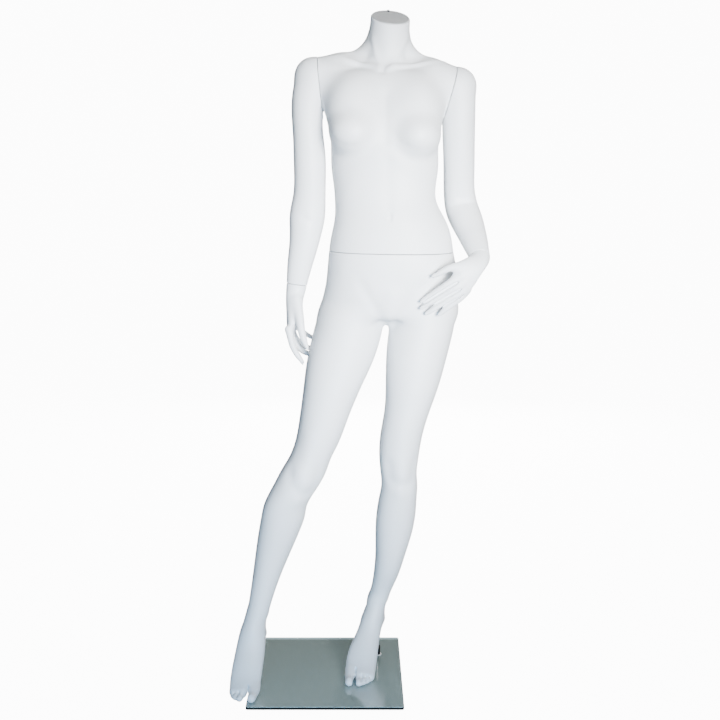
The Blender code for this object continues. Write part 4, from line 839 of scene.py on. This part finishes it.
def with_feet(bm):
    """Swaps the feet for the same shape drawn on finer cells."""
    level = Vector((0.0, 0.0, ANKLE_CUT))
    up = Vector((0.0, 0.0, 1.0))
    everything = list(bm.verts) + list(bm.edges) + list(bm.faces)
    bmesh.ops.bisect_plane(bm, geom=everything, dist=1e-7, plane_co=level, plane_no=-up, clear_outer=True)
    for low, high in (((-0.335, -0.200, 0.000), (-0.190, 0.060, 0.240)),
                      ((-0.060, -0.130, 0.000), (0.115, 0.140, 0.240))):
        foot_bm = skin(fine_lower_body, (low, high), FOOT_STEP)
        ankle = Vector((0.0, 0.0, ANKLE_CUT - ANKLE_BAND))
        everything = list(foot_bm.verts) + list(foot_bm.edges) + list(foot_bm.faces)
        bmesh.ops.bisect_plane(foot_bm, geom=everything, dist=1e-7, plane_co=ankle, plane_no=up,
                               clear_outer=True)
        append(bm, foot_bm)
        loops = [e for e in bm.edges if e.is_boundary and all(low[0] < v.co.x < high[0] for v in e.verts)]
        bmesh.ops.bridge_loops(bm, edges=loops)


def add_piece(name, bm, finish, body, slot, *replaced, sharp=radians(38)):
    bmesh.ops.recalc_face_normals(bm, faces=bm.faces)
    mesh = bpy.data.meshes.new(name)
    bm.to_mesh(mesh)
    bm.free()
    mesh.shade_smooth()
    mesh.set_sharp_from_angle(angle=sharp)
    mesh.materials.append(finish)
    obj = bpy.data.objects.new(name, mesh)
    bpy.context.scene.collection.objects.link(obj)
    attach(obj, body)
    if replaced:
        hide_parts(*replaced)
    return obj


# ---- materials ----
def new_material(name, colour, roughness, metallic=0.0, coat=0.0, coat_roughness=0.1):
    made = bpy.data.materials.new(name)
    made.use_nodes = True
    tree = made.node_tree
    shader = tree.nodes["Principled BSDF"]
    shader.inputs["Base Color"].default_value = (*colour, 1.0)
    shader.inputs["Roughness"].default_value = roughness
    shader.inputs["Metallic"].default_value = metallic
    shader.inputs["Coat Weight"].default_value = coat
    shader.inputs["Coat Roughness"].default_value = coat_roughness
    return made, tree, shader


def object_place(tree):
    return tree.nodes.new("ShaderNodeTexCoord").outputs["Object"]


def noise(tree, scale, detail=3.0, stretch=None):
    """Noise in the object's own space; stretch scales it along X, Y and Z."""
    place = object_place(tree)
    if stretch:
        mapping = tree.nodes.new("ShaderNodeMapping")
        mapping.inputs["Scale"].default_value = stretch
        tree.links.new(place, mapping.inputs["Vector"])
        place = mapping.outputs["Vector"]
    texture = tree.nodes.new("ShaderNodeTexNoise")
    texture.inputs["Scale"].default_value = scale
    texture.inputs["Detail"].default_value = detail
    tree.links.new(place, texture.inputs["Vector"])
    return texture.outputs["Fac"]


def ramp(tree, value, *stops):
    """Colours along a value: (place, colour) stops."""
    node = tree.nodes.new("ShaderNodeValToRGB")
    elements = node.color_ramp.elements
    while len(elements) < len(stops):
        elements.new(0.5)
    for element, (place, colour) in zip(elements, stops):
        element.position = place
        element.color = (*colour, 1.0)
    tree.links.new(value, node.inputs["Fac"])
    return node.outputs["Color"]


def spread_value(tree, value, low, high):
    """A value from 0 to 1 carried to a range of roughness."""
    node = tree.nodes.new("ShaderNodeMapRange")
    node.inputs["From Min"].default_value = 0.3
    node.inputs["From Max"].default_value = 0.7
    node.inputs["To Min"].default_value = low
    node.inputs["To Max"].default_value = high
    tree.links.new(value, node.inputs["Value"])
    return node.outputs["Result"]


def bump(tree, shader, height, distance, strength=1.0):
    node = tree.nodes.new("ShaderNodeBump")
    node.inputs["Distance"].default_value = distance
    node.inputs["Strength"].default_value = strength
    tree.links.new(height, node.inputs["Height"])
    tree.links.new(node.outputs["Normal"], shader.inputs["Normal"])


def painted_fibreglass():
    """Matt white paint with a faint orange peel and cloudy unevenness."""
    made, tree, shader = new_material("painted_fibreglass", (0.80, 0.81, 0.82), 0.5, coat=0.06,
                                      coat_roughness=0.35)
    clouds = noise(tree, 7.0, 4.0)
    colour = ramp(tree, clouds, (0.30, (0.775, 0.790, 0.800)), (0.70, (0.815, 0.825, 0.835)))
    tree.links.new(colour, shader.inputs["Base Color"])
    tree.links.new(spread_value(tree, noise(tree, 24.0), 0.46, 0.56), shader.inputs["Roughness"])
    bump(tree, shader, noise(tree, 900.0, 2.0), 0.00012, 0.35)
    return made


def bare_fibreglass():
    """Moulded plate with short strands under its surface."""
    made, tree, shader = new_material("bare_fibreglass", (0.60, 0.61, 0.60), 0.55)
    strands = noise(tree, 160.0, 4.0, (1.0, 5.0, 1.0))
    colour = ramp(tree, strands, (0.35, (0.52, 0.54, 0.52)), (0.65, (0.66, 0.67, 0.66)))
    tree.links.new(colour, shader.inputs["Base Color"])
    bump(tree, shader, strands, 0.0002, 0.5)
    return made


def satin_cap():
    made, tree, shader = new_material("satin_cap", (0.42, 0.43, 0.44), 0.4)
    grain = noise(tree, 60.0, 3.0)
    colour = ramp(tree, grain, (0.3, (0.415, 0.420, 0.425)), (0.7, (0.450, 0.455, 0.460)))
    tree.links.new(colour, shader.inputs["Base Color"])
    tree.links.new(spread_value(tree, grain, 0.36, 0.46), shader.inputs["Roughness"])
    bump(tree, shader, noise(tree, 700.0), 0.0001, 0.3)
    return made


def base_glass_painted_light():
    """Grey-green glass: polished faces, with painted light: a little lighter towards the front, and a painted
    pale cyan edge light along the rear edge.
    """
    made, tree, shader = new_material("base_glass_painted_light", (0.20, 0.26, 0.26), 0.03, coat=1.0, coat_roughness=0.02)
    split = tree.nodes.new("ShaderNodeSeparateXYZ")
    tree.links.new(object_place(tree), split.inputs["Vector"])
    along = tree.nodes.new("ShaderNodeMapRange")
    low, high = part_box("glass_base_plate")
    along.inputs["From Min"].default_value = low[1]
    along.inputs["From Max"].default_value = high[1]
    tree.links.new(split.outputs["Y"], along.inputs["Value"])
    # painted light: the ramp lightens the face towards the front, darkens it towards the rear and ends in a
    # pale cyan band at the rear edge, a painted edge light
    colour = ramp(tree, along.outputs["Result"], (0.0, (0.300, 0.375, 0.360)), (0.45, (0.265, 0.330, 0.315)),
                  (0.955, (0.220, 0.270, 0.250)), (0.975, (0.60, 0.80, 0.80)))
    tree.links.new(colour, shader.inputs["Base Color"])
    shader.inputs["IOR"].default_value = 1.52
    bump(tree, shader, noise(tree, 3.0, 2.0), 0.0004, 0.15)
    return made


def glass_edge_painted_shade():
    # near-black side faces of the plate: the glass's own dark green seen edge on, deepened to near-black as
    # painted shade
    made, tree, shader = new_material("glass_edge_painted_shade", (0.004, 0.006, 0.007), 0.12)
    streaks = noise(tree, 40.0, 3.0, (1.0, 1.0, 14.0))
    colour = ramp(tree, streaks, (0.35, (0.003, 0.004, 0.005)), (0.70, (0.012, 0.018, 0.019)))
    tree.links.new(colour, shader.inputs["Base Color"])
    return made


def glass_arris():
    made, tree, shader = new_material("glass_arris", (0.45, 0.58, 0.56), 0.25)
    ground = noise(tree, 900.0, 2.0)
    colour = ramp(tree, ground, (0.3, (0.38, 0.50, 0.48)), (0.7, (0.52, 0.64, 0.62)))
    tree.links.new(colour, shader.inputs["Base Color"])
    bump(tree, shader, ground, 0.0001, 0.4)
    return made


def metal(name, colour, roughness, lines):
    """Turned metal: fine rings."""
    made, tree, shader = new_material(name, colour, roughness, metallic=1.0)
    rings = noise(tree, lines, 2.0, (0.15, 0.15, 6.0))
    dark = tuple(0.82 * c for c in colour)
    tree.links.new(ramp(tree, rings, (0.35, dark), (0.65, colour)), shader.inputs["Base Color"])
    tree.links.new(spread_value(tree, rings, roughness - 0.06, roughness + 0.08), shader.inputs["Roughness"])
    bump(tree, shader, rings, 0.00005, 0.4)
    return made


def moulded(name, colour, roughness, subsurface=0.0):
    """Moulded plastic or rubber with a faint grain."""
    made, tree, shader = new_material(name, colour, roughness)
    grain = noise(tree, 220.0, 3.0)
    dark = tuple(0.94 * c for c in colour)
    tree.links.new(ramp(tree, grain, (0.3, dark), (0.7, colour)), shader.inputs["Base Color"])
    shader.inputs["Subsurface Weight"].default_value = subsurface
    shader.inputs["Subsurface Radius"].default_value = (0.004, 0.004, 0.004)
    bump(tree, shader, grain, 0.0001, 0.4)
    return made


def finishes():
    return {
        "fibreglass": painted_fibreglass(),
        "fibreglass_plate": bare_fibreglass(),
        "neck_cap": satin_cap(),
        "steel": metal("turned_steel", (0.56, 0.57, 0.58), 0.28, 160.0),
        "dark_steel": metal("black_steel", (0.030, 0.030, 0.032), 0.38, 160.0),
        "nylon": moulded("natural_nylon", (0.80, 0.79, 0.75), 0.45, 0.1),
        "clear_rubber": moulded("soft_bumper", (0.55, 0.58, 0.58), 0.35, 0.3),
        "glass": base_glass_painted_light()}


# ---- pieces ----
def make_glass(finish):
    """The base plate with rounded corners, ground arrises and the hole of the base bolt."""
    low, high = (Vector(c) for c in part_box("glass_base_plate"))
    bolt_low, bolt_high = (Vector(c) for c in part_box("base_bolt"))
    bolt = (bolt_low + bolt_high) / 2
    corners = [(high.x, high.y, 0), (low.x, high.y, 1), (low.x, low.y, 2), (high.x, low.y, 3)]

    def outline(inset, level):
        ring = []
        for x, y, quarter in corners:
            sx, sy = (1 if x == high.x else -1), (1 if y == high.y else -1)
            cx, cy = x - sx * GLASS_CORNER, y - sy * GLASS_CORNER
            for i in range(CORNER_STEPS + 1):
                angle = (quarter + i / CORNER_STEPS) * pi / 2
                reach = GLASS_CORNER - inset
                ring.append(bm.verts.new((cx + reach * cos(angle), cy + reach * sin(angle), level)))
        return ring

    def hole(level):
        angles = [2 * pi * i / HOLE_SIDES for i in range(HOLE_SIDES)]
        return [bm.verts.new((bolt.x + GLASS_HOLE * cos(a), bolt.y + GLASS_HOLE * sin(a), level))
                for a in angles]

    def strip(one, two, index):
        for i in range(len(one)):
            j = (i + 1) % len(one)
            bm.faces.new((one[i], one[j], two[j], two[i])).material_index = index

    bm = bmesh.new()
    levels = ((GLASS_ARRIS, low.z), (0.0, low.z + GLASS_ARRIS), (0.0, high.z - GLASS_ARRIS),
              (GLASS_ARRIS, high.z))
    outer = [outline(*level) for level in levels]
    inner = [hole(low.z), hole(high.z)]
    for (one, two), index in zip(zip(outer, outer[1:]), (2, 1, 2)):
        strip(one, two, index)
    strip(inner[0], inner[1], 1)
    for ring, bore in ((outer[0], inner[0]), (outer[-1], inner[1])):
        edges = {e for v in ring + bore for e in v.link_edges if all(w in ring or w in bore for w in e.verts)}
        bmesh.ops.triangle_fill(bm, edges=list(edges), use_beauty=True)
    obj = add_piece("glass_plate", bm, finish, "stand", "glass", "glass_base_plate", sharp=radians(20))
    obj.data.materials.append(glass_edge_painted_shade())
    obj.data.materials.append(glass_arris())


def heel_hole(body):
    """Cuts the hole of the rod's sleeve up into the left heel."""
    low, high = (Vector(c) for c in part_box("heel_rod_sleeve"))
    middle = (low + high) / 2
    radius = (high.x - low.x) / 2 + ROD_CLEARANCE
    top = high.z + ROD_CLEARANCE / 2
    place = Matrix.Translation((middle.x, middle.y, (ROD_MOUTH + top) / 2))
    bm = bmesh.new()
    bmesh.ops.create_cone(bm, cap_ends=True, segments=40, radius1=radius, radius2=radius,
                          depth=top - ROD_MOUTH, matrix=place)
    mesh = bpy.data.meshes.new("rod_cutter")
    bm.to_mesh(mesh)
    bm.free()
    cutter = bpy.data.objects.new("rod_cutter", mesh)
    bpy.context.scene.collection.objects.link(cutter)
    cut = body.modifiers.new("rod hole", "BOOLEAN")
    cut.object = cutter
    bpy.context.view_layer.update()
    shown = body.evaluated_get(bpy.context.evaluated_depsgraph_get())
    body.data = bpy.data.meshes.new_from_object(shown)
    body.modifiers.clear()
    bpy.data.objects.remove(cutter)


def make_figure(finish):
    add_piece("torso_skin",
              casting(fine_torso, inside(torso), ((-0.150, -0.150, 1.020), (0.290, 0.170, 1.690)), BODY_STEP,
                      [(WAIST, 1, 0.9), (NECK_TOP, -1, 1.50),
                       (RIGHT_SHOULDER, -1, RIGHT_ARMPIT - ARMPIT_SLACK),
                       (LEFT_SHOULDER, -1, LEFT_ARMPIT - ARMPIT_SLACK)]),
              finish, "upper_body", "fibreglass", "torso_shell")
    lower = add_piece("lower_body_skin",
                      casting(fine_lower_body, leg_hollow, ((-0.340, -0.200, 0.000), (0.270, 0.190, 1.130)),
                              BODY_STEP, [(WAIST, -1, 1.0)], detail=with_feet),
                      finish, "figure", "fibreglass", "lower_body_shell")
    heel_hole(lower)
    sides = (
        ("right", fine_right_arm, right_arm, ((-0.200, -0.040, 0.940), (-0.040, 0.130, 1.560)),
         RIGHT_SHOULDER, fine_right_hand, ((-0.210, -0.030, 0.780), (-0.080, 0.130, 1.050)), RIGHT_WRIST),
        ("left", fine_left_arm, left_arm, ((0.170, -0.120, 1.010), (0.330, 0.150, 1.540)),
         LEFT_SHOULDER, fine_left_hand, ((0.120, -0.130, 0.920), (0.340, 0.010, 1.130)), LEFT_WRIST))
    for side, arm, plain_arm, arm_box, shoulder, palm, hand_box, wrist in sides:
        add_piece(side + "_arm_skin",
                  casting(arm, inside(plain_arm), arm_box, ARM_STEP, [(shoulder, 1, 0.9), (wrist, -1, 0.9)]),
                  finish, side + "_arm", "fibreglass", side + "_arm_shell")
        add_piece(side + "_hand_skin",
                  casting(palm, None, hand_box, HAND_STEP, [(wrist, 1, 0.8)],
                          bore=(WRIST_BORE, WRIST_BORE_DEPTH)),
                  finish, side + "_hand", "fibreglass", side + "_hand")


def dress_fittings(finish):
    """Gives every CAD node that still shows its slot's material."""
    slots = {row["node"]: row["material_slot"] for row in frame["record"]["subparts"]}
    for node, obj in frame["nodes"].items():
        for place in obj.material_slots:
            place.material = finish[slots[node]]


# ---- studio ----
def add_light(name, place, target, size, power, colour=(1.0, 1.0, 1.0), spread=180.0, glossy=True):
    light = bpy.data.lights.new(name, "AREA")
    light.shape = "RECTANGLE"
    light.size, light.size_y = size
    light.energy = power
    light.color = colour
    light.spread = radians(spread)
    obj = bpy.data.objects.new(name, light)
    bpy.context.scene.collection.objects.link(obj)
    obj.visible_glossy = glossy
    obj.location = place
    obj.rotation_euler = (Vector(target) - Vector(place)).to_track_quat("-Z", "Y").to_euler()


def add_stage(name, bm, finish):
    mesh = bpy.data.meshes.new(name)
    bm.to_mesh(mesh)
    bm.free()
    mesh.materials.append(finish)
    obj = bpy.data.objects.new(name, mesh)
    bpy.context.scene.collection.objects.link(obj)
    return obj


def pale_floor():
    made, tree, shader = new_material("pale_floor", (0.88, 0.88, 0.88), 0.8)
    tone = noise(tree, 2.0, 2.0)
    tree.links.new(ramp(tree, tone, (0.3, (0.89, 0.89, 0.89)), (0.7, (0.91, 0.91, 0.91))),
                   shader.inputs["Base Color"])
    shader.inputs["Emission Color"].default_value = (1.0, 1.0, 1.0, 1.0)
    shader.inputs["Emission Strength"].default_value = FLOOR_GLOW
    return made


def white_wall():
    made, _, shader = new_material("white_wall", (0.9, 0.9, 0.9), 0.9)
    shader.inputs["Emission Color"].default_value = (1.0, 1.0, 1.0, 1.0)
    shader.inputs["Emission Strength"].default_value = WALL_GLOW
    return made


def make_studio():
    bm = bmesh.new()
    bmesh.ops.create_grid(bm, x_segments=1, y_segments=1, size=STUDIO_REACH)
    floor = add_stage("floor", bm, pale_floor())
    bm = bmesh.new()
    bmesh.ops.create_cone(bm, cap_ends=False, segments=64, radius1=STUDIO_REACH, radius2=STUDIO_REACH,
                          depth=2 * STUDIO_REACH)
    wall = add_stage("wall", bm, white_wall())
    for stage in (floor, wall):
        stage.visible_diffuse = False
        stage.visible_glossy = False
        stage.visible_shadow = False
    world = bpy.data.worlds.new("studio")
    bpy.context.scene.world = world
    world.use_nodes = True
    back = world.node_tree.nodes["Background"]
    back.inputs["Color"].default_value = (0.80, 0.91, 1.0, 1.0)
    back.inputs["Strength"].default_value = WORLD_LIGHT
    middle = (0.0, 0.0, 0.95)
    add_light("key", (0.9, -2.55, 1.35), (0.06, 0.0, 1.08), (1.0, 1.0), 29.0, spread=44.0)
    add_light("fill", (-2.4, -2.6, 1.1), middle, (1.4, 2.0), 8.0, (0.80, 0.90, 1.0))
    add_light("low", (0.0, -2.8, 0.3), (-0.05, 0.0, 0.20), (1.6, 0.5), 26.0, (0.26, 0.60, 1.0), spread=90.0)
    add_light("top", (0.2, 0.6, 3.4), middle, (2.0, 2.0), 14.0, glossy=False)
    add_light("rear", (0.3, 3.2, 1.6), middle, (2.0, 2.0), 120.0, glossy=False)


def make_camera():
    lens = bpy.data.cameras.new("camera")
    lens.lens = LENS
    lens.sensor_width = 36.0
    camera = bpy.data.objects.new("camera", lens)
    bpy.context.scene.collection.objects.link(camera)
    camera.location = CAMERA_PLACE
    camera.rotation_euler = (radians(90.0 - CAMERA_DIP), 0.0, 0.0)
    bpy.context.scene.camera = camera


make_camera()
make_studio()
finish = finishes()
make_figure(finish["fibreglass"])
make_glass(finish["glass"])
dress_fittings(finish)
